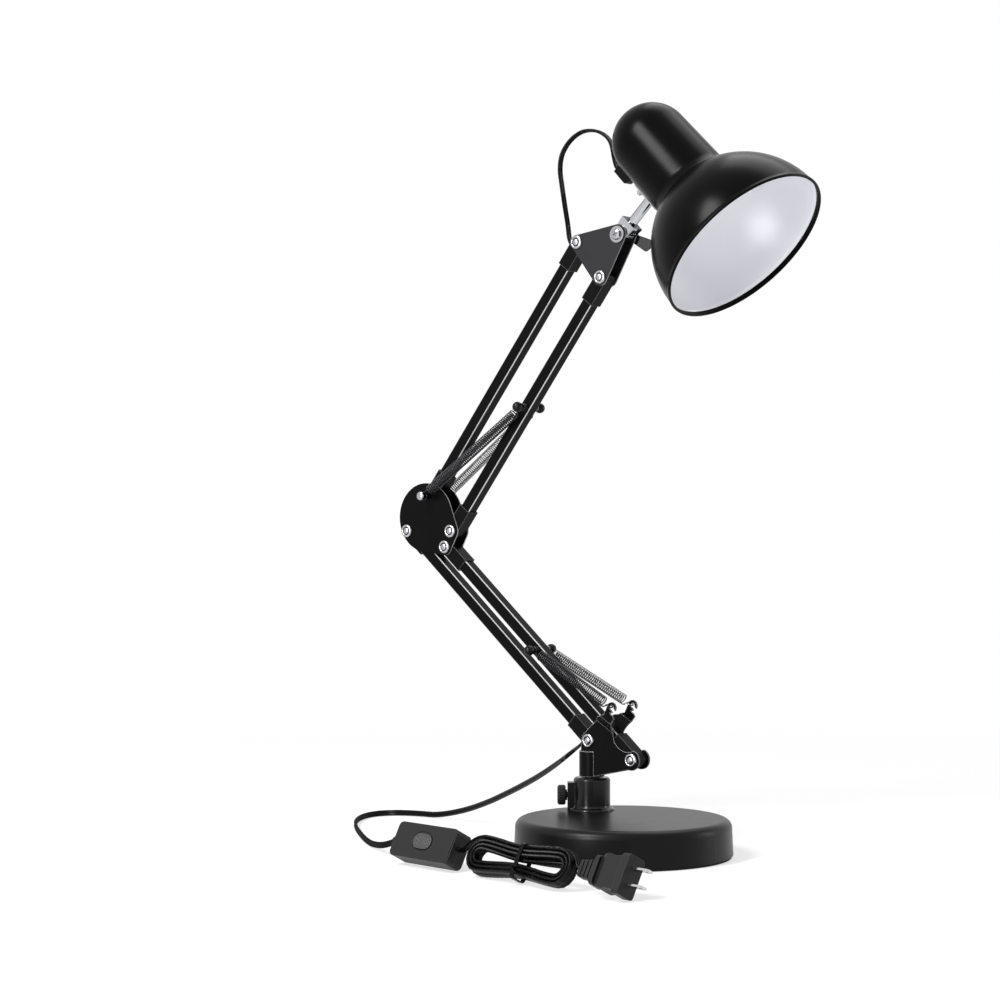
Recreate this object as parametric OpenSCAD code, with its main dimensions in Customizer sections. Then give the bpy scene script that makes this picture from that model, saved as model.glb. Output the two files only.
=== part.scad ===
// Swing-arm desk lamp on a round weighted base.
// Millimetres, +Z up. The origin is the centre of the base's underside.
// The arms move in a plane parallel to XZ, and +X is the side that the shade is on.

/* [Base] */
// Radius of the base at the table
base_r = 90; // [75:1:110]
// Height of the base
base_h = 31; // [26:1:40]
// Radius of the rounded edge round the base's top
base_bend = 7; // [4:0.5:12]
// Thickness of the base's pressed steel cover
cover_wall = 1.2; // [0.8:0.1:2]
// Height of the cast ballast inside the base
ballast_h = 14; // [8:0.5:15]
// Thickness of the foam pad under the base
pad_h = 2; // [1:0.5:3]
// Distance of the post behind and beside the base's centre, along X
post_x = -52; // [-58:1:-40]
// Distance of the post from the base's centre, along Y
post_y = 27; // [15:1:32]

/* [Post] */
// Radius of the post pin that turns in the collar
pin_r = 6.5; // [5:0.1:8]
// Radius of the collar
collar_r = 15.5; // [13:0.1:18]
// Height of the collar above the base
collar_h = 27.5; // [24:0.5:34]
// Radius of the thumb screw's knob
thumb_r = 8.4; // [6:0.1:9.5]
// Direction of the thumb screw, in degrees from +X
thumb_dir = 218; // [190:1:250]

/* [Arms] */
// Distance between the two pivots of a lower bar
lower_arm = 268; // [230:1:320]
// Angle of the lower bars above +X in the pose that the lamp is stored in
lower_angle = 139; // [130:0.5:142]
// Distance between the two pivots of an upper bar
upper_arm = 269.5; // [230:0.5:320]
// Angle of the upper bars above +X in the pose that the lamp is stored in
upper_angle = 52.5; // [40:0.5:65]
// Side of the square bars
bar_w = 10.5; // [9:0.5:12]
// Wall of the square bars
bar_wall = 0.9; // [0.6:0.1:1.5]
// Wall of the moulded sleeve on each end of a bar
sleeve_wall = 1.05; // [0.8:0.05:1.5]
// Length of a sleeve from its pivot along the bar
sleeve_len = 25; // [18:1:30]

/* [Plates] */
// Thickness of the pressed plates at the bracket, the elbow and the head
plate_t = 1.2; // [1:0.1:2]
// Radius of the rivets
rivet_r = 2.5; // [2:0.1:3]
// Radius of a rivet's head
rivet_head_r = 4.9; // [4:0.1:5.5]
// Radius of the elbow's round back
elbow_r = 30.5; // [28:0.5:34]

/* [Springs] */
// Radius of a spring at the middle of its wire
spring_r = 3; // [2.5:0.1:3.6]
// Diameter of the spring wire
spring_wire = 1.3; // [1:0.1:1.6]
// Turns of each lower spring
lower_turns = 13; // [8:1:13]
// Turns of each upper spring
upper_turns = 18; // [10:1:18]
// Radius of the ball on the end of each spring pin
knob_r = 4.5; // [3.6:0.1:5]

/* [Shade] */
// Radius of the shade's rim
rim_r = 75; // [68:0.5:85]
// Depth that the bell's curve would have if it closed
bell_depth = 77.5; // [65:0.5:90]
// Radius of the housing at its dome
dome_r = 33.2; // [31:0.2:38]
// Distance from the rim to the centre of the dome
dome_back = 130.5; // [122:0.5:145]
// Growth of the housing's radius for each millimetre towards the rim
housing_taper = 0.02; // [0:0.005:0.04]
// Thickness of the shade's spun sheet
shade_wall = 1; // [0.7:0.1:1.5]
// Thickness of the white enamel inside the shade
enamel_t = 0.4; // [0.3:0.1:0.6]
// Angle of the chrome rod above +X
rod_angle = 44.4; // [30:0.2:60]
// Distance from the head bolt to the shade's axis
rod_reach = 73.6; // [68:0.2:85]
// Distance from the rod to the rim, along the shade's axis
rod_to_rim = 98; // [92:0.5:104]
// Radius of the chrome rod
rod_r = 4.2; // [3:0.1:5]

/* [Lampholder] */
// Inner radius of the lampholder's screw shell
thread_r = 13.2; // [13.1:0.05:13.4]
// Length of the screw shell
thread_len = 22; // [18:1:26]
// Distance from the rim to the lampholder's mouth
holder_mouth = 92; // [88:1:96]

/* [Cord] */
// Width of the flat twin cord
cord_w = 5.4; // [4.8:0.1:6]
// Thickness of the flat twin cord
cord_t = 2.8; // [2.4:0.1:3.2]
// Loops in the hank
hank_loops = 6; // [4:2:6]
// Length of the hank between the ends of its middle loop
hank_len = 86; // [80:1:110]

/* [Switch and plug] */
// Length of the in-line switch
switch_len = 70; // [60:1:76]
// Height of the in-line switch, which stands on its edge
switch_w = 29; // [24:1:32]
// Depth of the in-line switch
switch_t = 18; // [16:0.5:22]
// Height of the plug's front flange
plug_w = 31; // [26:1:34]
// Distance between the middles of the plug's two blades
blade_gap = 12.7; // [12:0.1:13]

/* [Hidden] */

$fn = 64;
fit = 0.06;
gap = 0.3;
touch = 0.05;

// Points of the linkage, as [x, z] from the post's axis at table height
function ray(a) = [cos(a), sin(a)];
low_a = [2, 90];
low_b = low_a + [44, -14];
elb_a = low_a + lower_arm * ray(lower_angle);
elb_b = low_b + lower_arm * ray(lower_angle);
upp_a = elb_a + [26, 31];
upp_b = elb_a + [50.5, 0];
head_a = upp_a + upper_arm * ray(upper_angle);
head_b = upp_b + upper_arm * ray(upper_angle);
head_p = head_a + [42.5, 3.5];

// Widths across the arms, measured from their middle plane
sleeve_w = bar_w + 2 * sleeve_wall;
plate_in = sleeve_w / 2 + gap;
plate_out = plate_in + plate_t;
head_h = 1.9;

// Springs: the ears of the bracket and the hooks lie further out than the plates
ear_mid = 15;
knob_eye = plate_in + 2.9;
knob_mid = 15.6;
hook_at = [31.7, 119.6];
spring_pin_r = 2;
long_pin_r = 2.5;
eye_r = spring_pin_r + gap + spring_wire / 2;
long_eye_r = long_pin_r + gap + spring_wire / 2;
low_knob = low_b + 0.5 * lower_arm * ray(lower_angle);
upp_knob = upp_b + 0.5 * upper_arm * ray(upper_angle);

// The shade's axis: s runs back from the rim, and the rod stands square to it
shade_angle = rod_angle - 90;
rim_at = head_p + rod_reach * ray(rod_angle) + rod_to_rim * ray(shade_angle);
neck_back = bell_depth * sqrt(1 - pow((dome_r + 1.2) / rim_r, 2));

// Small helpers

// Carries its children to the arms' place on the base
module arms() {
    translate([post_x, post_y, 0]) children();
}

// An outline drawn as x and z, standing between two y planes
module upright(y0, y1) {
    translate([0, y1, 0]) rotate([90, 0, 0]) linear_extrude(y1 - y0) children();
}

// A round pin or hole along Y
module across(p, r, y0, y1) {
    translate([p[0], y1, p[1]]) rotate([90, 0, 0]) cylinder(r = r, h = y1 - y0);
}

// A piece drawn along +X, carried to a pivot and turned up by an angle
module along(p, a) {
    translate([p[0], 0, p[1]]) rotate([0, -a, 0]) children();
}

// Where the outer tangent of two circles [x, y, r] touches them, on the right of the way
function tangent_side(a, b) =
    let (d = [b[0] - a[0], b[1] - a[1]], l = norm(d), u = d / l, k = (a[2] - b[2]) / l)
    u * k + [u[1], -u[0]] * sqrt(1 - k * k);

// A belt round circles that are listed anticlockwise: a plate with true round corners
module belt(cs) {
    n = len(cs);
    polygon([for (i = [0 : n - 1]) let (a = cs[i], b = cs[(i + 1) % n], t = tangent_side(a, b))
        each [[a[0], a[1]] + a[2] * t, [b[0], b[1]] + b[2] * t]]);
    for (c = cs) translate([c[0], c[1]]) circle(r = c[2]);
}

function at(p, r) = [p[0], p[1], r];
function at3(p, y) = [p[0], y, p[1]];

// A square with round corners, about its middle
module round_square(w, r) {
    k = w / 2 - r;
    belt([[k, k, r], [-k, k, r], [-k, -k, r], [k, -k, r]]);
}

// Tubes along a path: rings of an oval section, joined by triangles

function unit(v) = v / norm(v);
function square_to(n, t) = unit(n - (n * t) * t);
function ways(path) = [for (i = [0 : len(path) - 1])
    unit(path[min(i + 1, len(path) - 1)] - path[max(i - 1, 0)])];
function carried(ts, n0) =
    [for (i = 0, n = square_to(n0, ts[0]); i < len(ts); i = i + 1,
        n = square_to(n, ts[min(i, len(ts) - 1)])) square_to(n, ts[i])];

// w is the section's size along side, and h its size square to that. Held keeps side as it is, and given is
// the way that each ring faces, where that isn't worked out from the path.
module tube(path, w, h, sides, side, held = true, given = []) {
    ts = len(given) > 0 ? given : ways(path);
    ns = held ? [for (t = ts) square_to(side, t)] : carried(ts, side);
    rings = len(path);
    points = [for (i = [0 : rings - 1], j = [0 : sides - 1])
        let (a = 360 * (j + 0.5) / sides, b = cross(ts[i], ns[i]))
        path[i] + ns[i] * cos(a) * w / 2 + b * sin(a) * h / 2];
    walls = [for (i = [0 : rings - 2], j = [0 : sides - 1])
        let (a = i * sides + j, b = i * sides + (j + 1) % sides)
        each [[a, a + sides, b], [b, a + sides, b + sides]]];
    last = (rings - 1) * sides;
    caps = [for (j = [1 : sides - 2]) each [[0, j, j + 1], [last, last + j + 1, last + j]]];
    polyhedron(points, concat(walls, caps), convexity = 10);
}

// Least gap between parts of a tube that are more than skip points apart
function least_gap(path, d, skip) =
    min([for (i = [0 : len(path) - 1], j = [i + skip : len(path) - 1]) if (j < len(path))
        norm(path[i] - path[j])]) - d;

// Catmull-Rom curve through chosen points, with steps rings to each span
function spline_at(p, i, u) =
    let (a = p[max(i - 1, 0)], b = p[i], c = p[i + 1], d = p[min(i + 2, len(p) - 1)])
    0.5 * (2 * b + (c - a) * u + (2 * a - 5 * b + 4 * c - d) * u * u
        + (3 * b - a - 3 * c + d) * u * u * u);
function smooth(p, steps) = concat(
    [for (i = [0 : len(p) - 2], k = [0 : steps - 1]) spline_at(p, i, k / steps)],
    [p[len(p) - 1]]);

// Base

// The wall leans in by this much from the foot to the rounded edge
base_lean = 1;
base_flat_r = base_r - base_lean - base_bend;

module base_outline(inset) {
    r = base_r - inset;
    top = base_h - inset;
    polygon([[0, pad_h], [r, pad_h], [r - base_lean, base_h - base_bend], [base_flat_r, top], [0, top]]);
    translate([base_flat_r, base_h - base_bend]) circle(r = base_bend - inset);
}

module base_cover() {
    color("#1b1b1d")
    difference() {
        rotate_extrude() difference() {
            base_outline(0);
            difference() {
                base_outline(cover_wall);
                translate([0, base_h - cover_wall]) square([base_r, cover_wall]);
            }
            square([base_r - cover_wall, pad_h + 1]);
        }
        arms() translate([0, 0, base_h / 2]) cylinder(r = stem_r + fit, h = base_h);
    }
}

stem_r = 5;
stem_len = 9.5;
nut_h = 5;
plate_h = 1.2;
ballast_r = base_flat_r - 3;

module base_ballast() {
    color("#4a4a4c")
    translate([0, 0, pad_h + plate_h + touch]) cylinder(r = ballast_r, h = ballast_h);
}

module base_plate() {
    color("#3a3a3c")
    translate([0, 0, pad_h]) cylinder(r = base_r - cover_wall - gap, h = plate_h);
}

module base_pad() {
    color("#202022") cylinder(r = base_r - 1.5, h = pad_h);
}

// Post

collar_top = base_h + collar_h;
pin_foot = base_h + 2.5;
boss_out = collar_r + 5.2;
thumb_z = base_h + 12.5;
screw_r = 2.5;

module collar() {
    color("#2a2a2d")
    arms() difference() {
        union() {
            translate([0, 0, base_h]) rotate_extrude() polygon([[0, 0], [collar_r + 3.5, 0],
                [collar_r + 3.2, 1.2], [collar_r + 0.4, 2.6], [collar_r, 4], [collar_r, collar_h - 1.6],
                [collar_r - 1.6, collar_h], [0, collar_h]]);
            translate([0, 0, base_h]) rotate([0, 0, thumb_dir]) translate([0, -6, 0])
                cube([boss_out, 12, collar_h - 4]);
            translate([0, 0, base_h - stem_len]) cylinder(r = stem_r, h = stem_len + 1);
        }
        translate([0, 0, pin_foot]) cylinder(r = pin_r + fit, h = collar_h);
        translate([0, 0, thumb_z]) rotate([0, 0, thumb_dir]) rotate([0, 90, 0])
            cylinder(r = screw_r + fit, h = 30);
    }
}

module collar_nut() {
    top = base_h - cover_wall - touch;
    color("#b9b9bb")
    arms() difference() {
        union() {
            translate([0, 0, top - nut_h]) cylinder(r = 8, h = nut_h - 0.8, $fn = 6);
            translate([0, 0, top - 1]) cylinder(r = 8.8, h = 1);
        }
        cylinder(r = stem_r + touch, h = base_h);
    }
}

module thumb_screw() {
    grips = 24;
    reach = pin_r + gap;
    color("#242426")
    arms() translate([0, 0, thumb_z]) rotate([0, 0, thumb_dir]) rotate([0, 90, 0]) {
        translate([0, 0, reach]) cylinder(r = screw_r, h = boss_out + 1);
        translate([0, 0, boss_out + gap]) cylinder(r = 4.6, h = 1.6);
        translate([0, 0, boss_out + gap + 1.2]) difference() {
            rotate_extrude() polygon([[0, 0], [thumb_r - 1, 0], [thumb_r, 1], [thumb_r, 5.6],
                [thumb_r - 1.4, 7], [0, 7]]);
            for (i = [0 : grips - 1]) rotate([0, 0, 360 * i / grips])
                translate([thumb_r + 0.25, 0, -1]) cylinder(r = 0.7, h = 9);
        }
    }
}

// Lower bracket

barrel_r = 10.7;
barrel_foot = collar_top + 1.2;
barrel_top = low_a[1] - sleeve_w / 2 - 3;
hub_top = barrel_top - 1;

module bracket_hub() {
    color("#2f2f32")
    arms() {
        translate([0, 0, pin_foot + gap]) cylinder(r = pin_r, h = collar_top - pin_foot + 1.5);
        translate([0, 0, barrel_foot - 0.6])
            cylinder(r = barrel_r - plate_t - touch, h = hub_top - barrel_foot + 0.6);
    }
}

ear_turn = 59;
bend_low = [30.4, 95.8];
bend_rise = 8.6;

hook_r = 4.6;
hook_hole = 2.1;
slot_half = 1.5;

// The bracket's plate as it is cut, with an ear that ends in an open hook for the spring's eye
module bracket_blank(y0, y1) {
    difference() {
        union() {
            upright(y0, y1) belt([at(low_a, 7.2), [-6.4, 61.5, 1], [9, 61.5, 1], [43, 69, 1], at(low_b, 8.5)]);
            upright(y0, y1) belt([at(low_a, 7.2), [28, 95, 5], [27, 108, 4], [15.5, 109.5, 2]]);
            upright(y0, y1) polygon([[16, 108], [24, 98], [34, 110], [33, 112.5], [30.6, 114], [29.4, 117],
                [27.4, 121], [23.6, 113.4], [19, 112.6]]);
            across(hook_at, hook_r, y0, y1);
        }
        across([42, 97], 14.4, y0 - 1, y1 + 1);
        across(hook_at, hook_hole, y0 - 1, y1 + 1);
        translate([hook_at[0], 0, hook_at[1]]) rotate([0, 58, 0])
            upright(y0 - 1, y1 + 1) translate([0, -slot_half]) square([9, 2 * slot_half]);
    }
}

// The strip that the plate is pressed from, seen along its bends: flat, raised, flat again
module joggle(side) {
    rise = ear_mid - (plate_in + plate_out) / 2;
    inner = [[-80, plate_in], [0, plate_in], [bend_rise, plate_in + rise], [40, plate_in + rise]];
    outer = [for (i = [3 : -1 : 0]) inner[i] + [0, plate_t]];
    translate([bend_low[0], 0, bend_low[1]]) rotate([0, -ear_turn, 0])
        translate([0, 0, -100]) linear_extrude(200)
            polygon([for (p = concat(inner, outer)) [p[0], side * p[1]]]);
}

module bracket_plate(side) {
    lo = min(side * plate_in, side * (ear_mid + 2));
    color("#141416")
    arms() difference() {
        union() {
            intersection() {
                bracket_blank(side > 0 ? 1 : -29, side > 0 ? 29 : -1);
                joggle(side);
            }
            intersection() {
                translate([0, 0, barrel_foot]) cylinder(r = barrel_r, h = barrel_top - barrel_foot);
                translate([-20, side > 0 ? 0.6 : -20.6, 0]) cube([40, 20, 120]);
            }
        }
        translate([0, 0, barrel_foot - 1]) cylinder(r = barrel_r - plate_t, h = barrel_top - barrel_foot + 1);
        for (p = [low_a, low_b]) across(p, rivet_r + fit, -20, 20);
    }
}

module bracket_plate_front() { bracket_plate(-1); }
module bracket_plate_rear() { bracket_plate(1); }

// A rivet with a domed, dimpled head at each end
module rivet(p) {
    head = [[0, 0], [rivet_head_r, 0], [rivet_head_r - 0.1, 0.7], [rivet_head_r - 1.1, 1.5],
        [rivet_head_r - 2.3, head_h], [1.9, head_h - 0.2], [1.5, head_h - 0.9], [0, head_h - 1.0]];
    across(p, rivet_r, -plate_out - touch - 0.4, plate_out + touch + 0.4);
    for (side = [-1, 1]) translate([p[0], side * (plate_out + touch), p[1]])
        rotate([-90 * side, 0, 0]) rotate_extrude() polygon(head);
}

module bracket_rivets() {
    color("#d8d8da") arms() for (p = [low_a, low_b]) rivet(p);
}

// Bars

pocket_at = 10.5;
slot_w = cord_w + 0.6;
slot_from = rivet_r + 0.9;
slot_mid = (slot_from + pocket_at - 1) / 2;
mouth_h = sleeve_w / 2 + touch;

// A point beside a bar: d along it from the pivot, and h square to it on the side given
function beside_bar(p, a, d, h) = p + d * ray(a) + h * ray(a + 90);

module bar(p, a, length, hole) {
    color("#161618")
    arms() along(p, a) difference() {
        translate([pocket_at, 0, 0]) rotate([90, 0, 90]) linear_extrude(length - 2 * pocket_at)
            difference() {
                round_square(bar_w, 0.9);
                round_square(bar_w - 2 * bar_wall, 0.4);
            }
        if (hole) across([length / 2, 0], spring_pin_r + fit, -20, 20);
    }
}

// A sleeve: a round end about the pivot and a socket over the bar. Port is the side with the cord's slot.
module sleeve(port) {
    w = sleeve_w / 2;
    difference() {
        union() {
            across([0, 0], w, -w, w);
            translate([0, -w, -w]) cube([sleeve_len, sleeve_w, sleeve_w]);
        }
        translate([pocket_at - touch, 0, 0]) rotate([90, 0, 90]) linear_extrude(sleeve_len)
            round_square(bar_w + 2 * touch, 0.9);
        across([0, 0], rivet_r + fit, -20, 20);
        if (port != 0) {
            translate([slot_from, -slot_w / 2, port > 0 ? -2 : -10])
                cube([pocket_at - 1 - slot_from, slot_w, 12]);
            translate([slot_from, -slot_w / 2, -2]) cube([10, slot_w, 4]);
        }
    }
}

module sleeves(p, a, length, ports) {
    color("#0f0f10")
    arms() along(p, a) {
        sleeve(ports[0]);
        translate([length, 0, 0]) rotate([0, 180, 0]) sleeve(-ports[1]);
    }
}

// A pin through a bar, with a ball on each end that keeps the springs' eyes on
module spring_pin(p) {
    color("#1a1a1c")
    arms() {
        across(p, spring_pin_r, -knob_mid, knob_mid);
        for (side = [-1, 1]) {
            translate([p[0], side * knob_mid, p[1]]) sphere(r = knob_r);
            across(p, 3.4, side > 0 ? bar_w / 2 + touch : -bar_w / 2 - touch - 1.4,
                side > 0 ? bar_w / 2 + touch + 1.4 : -bar_w / 2 - touch);
        }
    }
}

// The flat cord inside a bar, which turns out of the sleeve at each end
module lead_in_bar(p, a, length, ports) {
    end = [[0, mouth_h], [0.1, 4.2], [0.9, 2.2], [2.8, 0.6], [5.4, 0]];
    near = [for (q = end) beside_bar(p, a, slot_mid + q[0], ports[0] * q[1])];
    far = [for (i = [4 : -1 : 0]) beside_bar(p, a, length - slot_mid - end[i][0], ports[1] * end[i][1])];
    color("#1c1c1e")
    arms() tube([for (q = concat(near, far)) at3(q, 0)], cord_w, cord_t, 8, [0, 1, 0]);
}

module lower_bar() { bar(low_a, lower_angle, lower_arm, false); }
module lower_bar_sleeves() { sleeves(low_a, lower_angle, lower_arm, [1, -1]); }
module lower_link() { bar(low_b, lower_angle, lower_arm, true); }
module lower_link_sleeves() { sleeves(low_b, lower_angle, lower_arm, [0, 0]); }
module lower_spring_pin() { spring_pin(low_knob); }
module upper_bar() { bar(upp_a, upper_angle, upper_arm, false); }
module upper_bar_sleeves() { sleeves(upp_a, upper_angle, upper_arm, [-1, 1]); }
module upper_link() { bar(upp_b, upper_angle, upper_arm, true); }
module upper_link_sleeves() { sleeves(upp_b, upper_angle, upper_arm, [0, 0]); }
module upper_spring_pin() { spring_pin(upp_knob); }
module lead_in_lower_bar() { lead_in_bar(low_a, lower_angle, lower_arm, [1, -1]); }
module lead_in_upper_bar() { lead_in_bar(upp_a, upper_angle, upper_arm, [-1, 1]); }

// Springs: turns between two ends. An end's points run from its tip towards the turns; u points there.

function pin_eye(p, u, v, r) = concat(
    [for (k = [-4 : 3]) p + r * (-cos(36 * k) * u + sin(36 * k) * v)],
    [p + u * (r + 1.4) + v * (r * 0.55), p + u * (r + 3.7) + v * spring_r * 0.9]);
function pin_room(r) = r + 5.5;

// This end's eye stands square to the plate and passes through the hook
function hook_eye(p, u, v, w, r) = concat(
    [for (k = [0 : 7]) p + r * (u + cos(320 - 40 * k) * u + sin(320 - 40 * k) * w)],
    [p + u * (2 * r + 0.8) + v * 1.4 + w * 0.9, p + u * (2 * r + 2) + v * spring_r * 0.85]);
function hook_room(r) = 2 * r + 3.6;

function coil_path(a, b, eye_a, eye_b, turns, hooked) =
    let (u = unit(b - a), v = unit(cross([0, 1, 0], u)), w = cross(u, v), length = norm(b - a),
        from = pin_room(eye_a), to = length - (hooked ? hook_room(eye_b) : pin_room(eye_b)), steps = 8 * turns,
        far = hooked ? hook_eye(b, -u, v, w, eye_b) : pin_eye(b, -u, v, eye_b))
    concat(
        pin_eye(a, u, v, eye_a),
        [for (i = [0 : steps]) let (t = i / steps, g = 360 * turns * t)
            a + u * (from + (to - from) * t) + spring_r * (cos(g) * v + sin(g) * w)],
        [for (i = [len(far) - 1 : -1 : 0]) far[i]]);

hook_eye_r = 3;
function lower_spring_path(side) =
    coil_path(at3(low_knob, side * knob_eye), at3(hook_at, side * ear_mid),
        eye_r, hook_eye_r, lower_turns, true);
function upper_spring_path(side) =
    coil_path(at3(upp_knob, side * knob_eye), at3(upp_a, side * ear_mid),
        eye_r, long_eye_r, upper_turns, false);

module spring(path) {
    color("#6e6e72") arms() tube(path, spring_wire, spring_wire, 6, [0, 1, 0], held = false);
}

module lower_spring_front() {
    spring(lower_spring_path(-1));
    echo(str("lower spring, least gap to itself in mm: ", least_gap(lower_spring_path(-1), spring_wire, 5)));
}
module lower_spring_rear() { spring(lower_spring_path(1)); }
module upper_spring_front() {
    spring(upper_spring_path(-1));
    echo(str("upper spring, least gap to itself in mm: ", least_gap(upper_spring_path(-1), spring_wire, 5)));
}
module upper_spring_rear() { spring(upper_spring_path(1)); }

// Elbow

module elbow_outline() {
    disc = [elb_a[0] + 22, elb_a[1] + 12, elbow_r];
    belt([disc, at(elb_b, 7.5), at(upp_b, 8.5)]);
    belt([disc, at(elb_a, 5.8)]);
}

module elbow_plate(side) {
    color("#121214")
    arms() difference() {
        upright(side > 0 ? plate_in : -plate_out, side > 0 ? plate_out : -plate_in) elbow_outline();
        for (p = [elb_a, elb_b, upp_b]) across(p, rivet_r + fit, -20, 20);
        across(upp_a, long_pin_r + fit, -20, 20);
    }
}

module elbow_plate_front() { elbow_plate(-1); }
module elbow_plate_rear() { elbow_plate(1); }

module elbow_rivets() {
    color("#d8d8da") arms() for (p = [elb_a, elb_b, upp_b]) rivet(p);
}

// The long pin is the upper bar's pivot, and its ends hold the upper springs
module elbow_long_pin() {
    tip = ear_mid + 5;
    color("#c9c9cc")
    arms() {
        across(upp_a, long_pin_r, -tip, tip);
        for (side = [-1, 1]) {
            translate([upp_a[0], side * tip, upp_a[1]]) rotate([-90 * side, 0, 0])
                rotate_extrude() polygon([[0, -1.2], [3.7, -1.2], [3.9, -0.6], [3.9, 0.2], [3.1, 1], [0, 1.3]]);
            across(upp_a, 4.2, side > 0 ? plate_out + touch : -plate_out - touch - 2,
                side > 0 ? plate_out + touch + 2 : -plate_out - touch);
        }
    }
}

// Head

module head_outline() {
    belt([at(head_a, 6.2), at(head_b, 7.2), at(head_p, 8.5)]);
}

head_bolt_r = 2.5;

module head_plate(side) {
    color("#2b2b2e")
    arms() difference() {
        upright(side > 0 ? plate_in : -plate_out, side > 0 ? plate_out : -plate_in) head_outline();
        for (p = [head_a, head_b]) across(p, rivet_r + fit, -20, 20);
        across(head_p, head_bolt_r + fit, -20, 20);
    }
}

module head_plate_front() { head_plate(-1); }
module head_plate_rear() { head_plate(1); }

module head_rivets() {
    color("#d8d8da") arms() for (p = [head_a, head_b]) rivet(p);
}

bolt_tail = plate_out + 12;

// The clamp bolt and its washers
module head_bolt() {
    color("#cfcfd2")
    arms() {
        across(head_p, head_bolt_r, -plate_out - touch - 1, bolt_tail);
        translate([head_p[0], -plate_out - touch - 1, head_p[1]]) rotate([90, 0, 0]) difference() {
            rotate_extrude() polygon([[0, -0.4], [4.7, -0.4], [4.7, 0.8], [4, 1.9], [2.6, 2.6], [0, 2.8]]);
            for (a = [0, 90]) rotate([0, 0, a + 20]) translate([-2.2, -0.4, 1.6]) cube([4.4, 0.8, 3]);
        }
        for (side = [-1, 1]) difference() {
            across(head_p, 7, side > 0 ? plate_out + touch : -plate_out - touch - 1,
                side > 0 ? plate_out + touch + 1 : -plate_out - touch);
            across(head_p, head_bolt_r - 0.5, -20, 20);
        }
    }
}

// The wing nut on the bolt's far end
module head_wing_nut() {
    hub_at = plate_out + touch + 1 + gap;
    color("#3b3b3f")
    arms() translate([head_p[0], hub_at, head_p[1]]) rotate([0, -150, 0]) difference() {
        union() {
            rotate([-90, 0, 0]) rotate_extrude()
                polygon([[0, 0], [5.8, 0], [5.8, 5.5], [4.6, 8], [0, 8]]);
            for (a = [0, 180]) rotate([0, a, 0]) upright_wing();
        }
        across([0, 0], head_bolt_r + fit, -5, 20);
    }
}

module upright_wing() {
    translate([3.4, 2, 0]) rotate([0, 0, 22]) upright(0, 2.6)
        belt([[1, -2.6, 1], [13.5, -3.2, 2.4], [15.8, 2.8, 2.6], [1, 2.6, 1]]);
}

// Knuckle: a bent chrome clevis on the head bolt, which carries the rod

knuckle_out = plate_in - gap;
knuckle_in = knuckle_out - 2;
web_at = 11.8;
web_t = 2;
rod_tail_r = 2.5;

module knuckle() {
    color("#d5d6da")
    arms() along(head_p, rod_angle) difference() {
        union() {
            for (side = [-1, 1])
                upright(side > 0 ? knuckle_in : -knuckle_out, side > 0 ? knuckle_out : -knuckle_in)
                belt([[0, 0, 6], [web_at + web_t - 1, -7, 1], [web_at + web_t - 1, 7, 1]]);
            translate([web_at, -knuckle_out, -8]) cube([web_t, 2 * knuckle_out, 16]);
        }
        across([0, 0], head_bolt_r + fit, -20, 20);
        rotate([0, 90, 0]) cylinder(r = rod_tail_r + fit, h = 40);
    }
}

// Distance from the head bolt to the housing's wall along the rod
wall_at = rod_reach - dome_r - housing_taper * (dome_back - rod_to_rim);
saddle_t = 1.4;

module head_rod() {
    tail = web_at - 0.2 - 1.6;
    color("#e2e3e6")
    arms() along(head_p, rod_angle) rotate([0, 90, 0]) {
        translate([0, 0, tail]) cylinder(r = 4, h = 1.6);
        translate([0, 0, tail]) cylinder(r = rod_tail_r, h = web_t + 4);
        translate([0, 0, web_at + web_t + 0.2])
            cylinder(r = rod_r, h = wall_at - saddle_t - web_at - web_t - 0.3);
    }
}

saddle_from = 85;
saddle_to = 115;
saddle_screw = 110;
saddle_w = 12;

// A curved chrome strip that joins the rod to the housing, with a screw and nut at its back end
module rod_saddle() {
    wall = housing_at(saddle_screw);
    low = housing_at(saddle_from) + touch;
    high = housing_at(saddle_to) + touch;
    color("#cfd0d4")
    in_shade() {
        difference() {
            intersection() {
                rotate_extrude() polygon([[low, saddle_from], [low + saddle_t, saddle_from],
                    [high + saddle_t, saddle_to], [high, saddle_to]]);
                translate([-rim_r, -saddle_w / 2, saddle_from - 1])
                    cube([rim_r, saddle_w, saddle_to - saddle_from + 2]);
            }
            translate([0, 0, saddle_screw]) rotate([0, -90, 0]) cylinder(r = saddle_hole, h = 60);
        }
        translate([-wall - saddle_t - 2.5, 0, saddle_screw]) rotate([0, 90, 0])
            cylinder(r = 3.3, h = 2.4, $fn = 6);
        translate([-wall - saddle_t - 4.2, 0, saddle_screw]) rotate([0, 90, 0])
            cylinder(r = saddle_hole - fit, h = 4.2 + saddle_t + wall - strap_leg + strap_t + 1);
        translate([-strap_leg + strap_t + touch, 0, saddle_screw]) rotate([0, 90, 0])
            cylinder(r = 3.2, h = 1.8);
    }
}

saddle_hole = 1.8;
strap_t = 1.4;
strap_w = 14;

// The strap's flat leg stands off the round wall by as much as its own edges need
strap_leg = sqrt(pow(housing_at(saddle_screw) - shade_wall - gap, 2) - pow(strap_w / 2, 2));

// Shade

// Local Z runs back from the rim along the shade's axis, and local X points away from the rod
module in_shade() {
    arms() translate([rim_at[0], 0, rim_at[1]]) rotate([0, -90 - shade_angle, 0]) children();
}

function housing_at(s) = dome_r + housing_taper * (dome_back - s);
function bell_at(s, r) = r * sqrt(1 - pow(s / bell_depth, 2));

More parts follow.
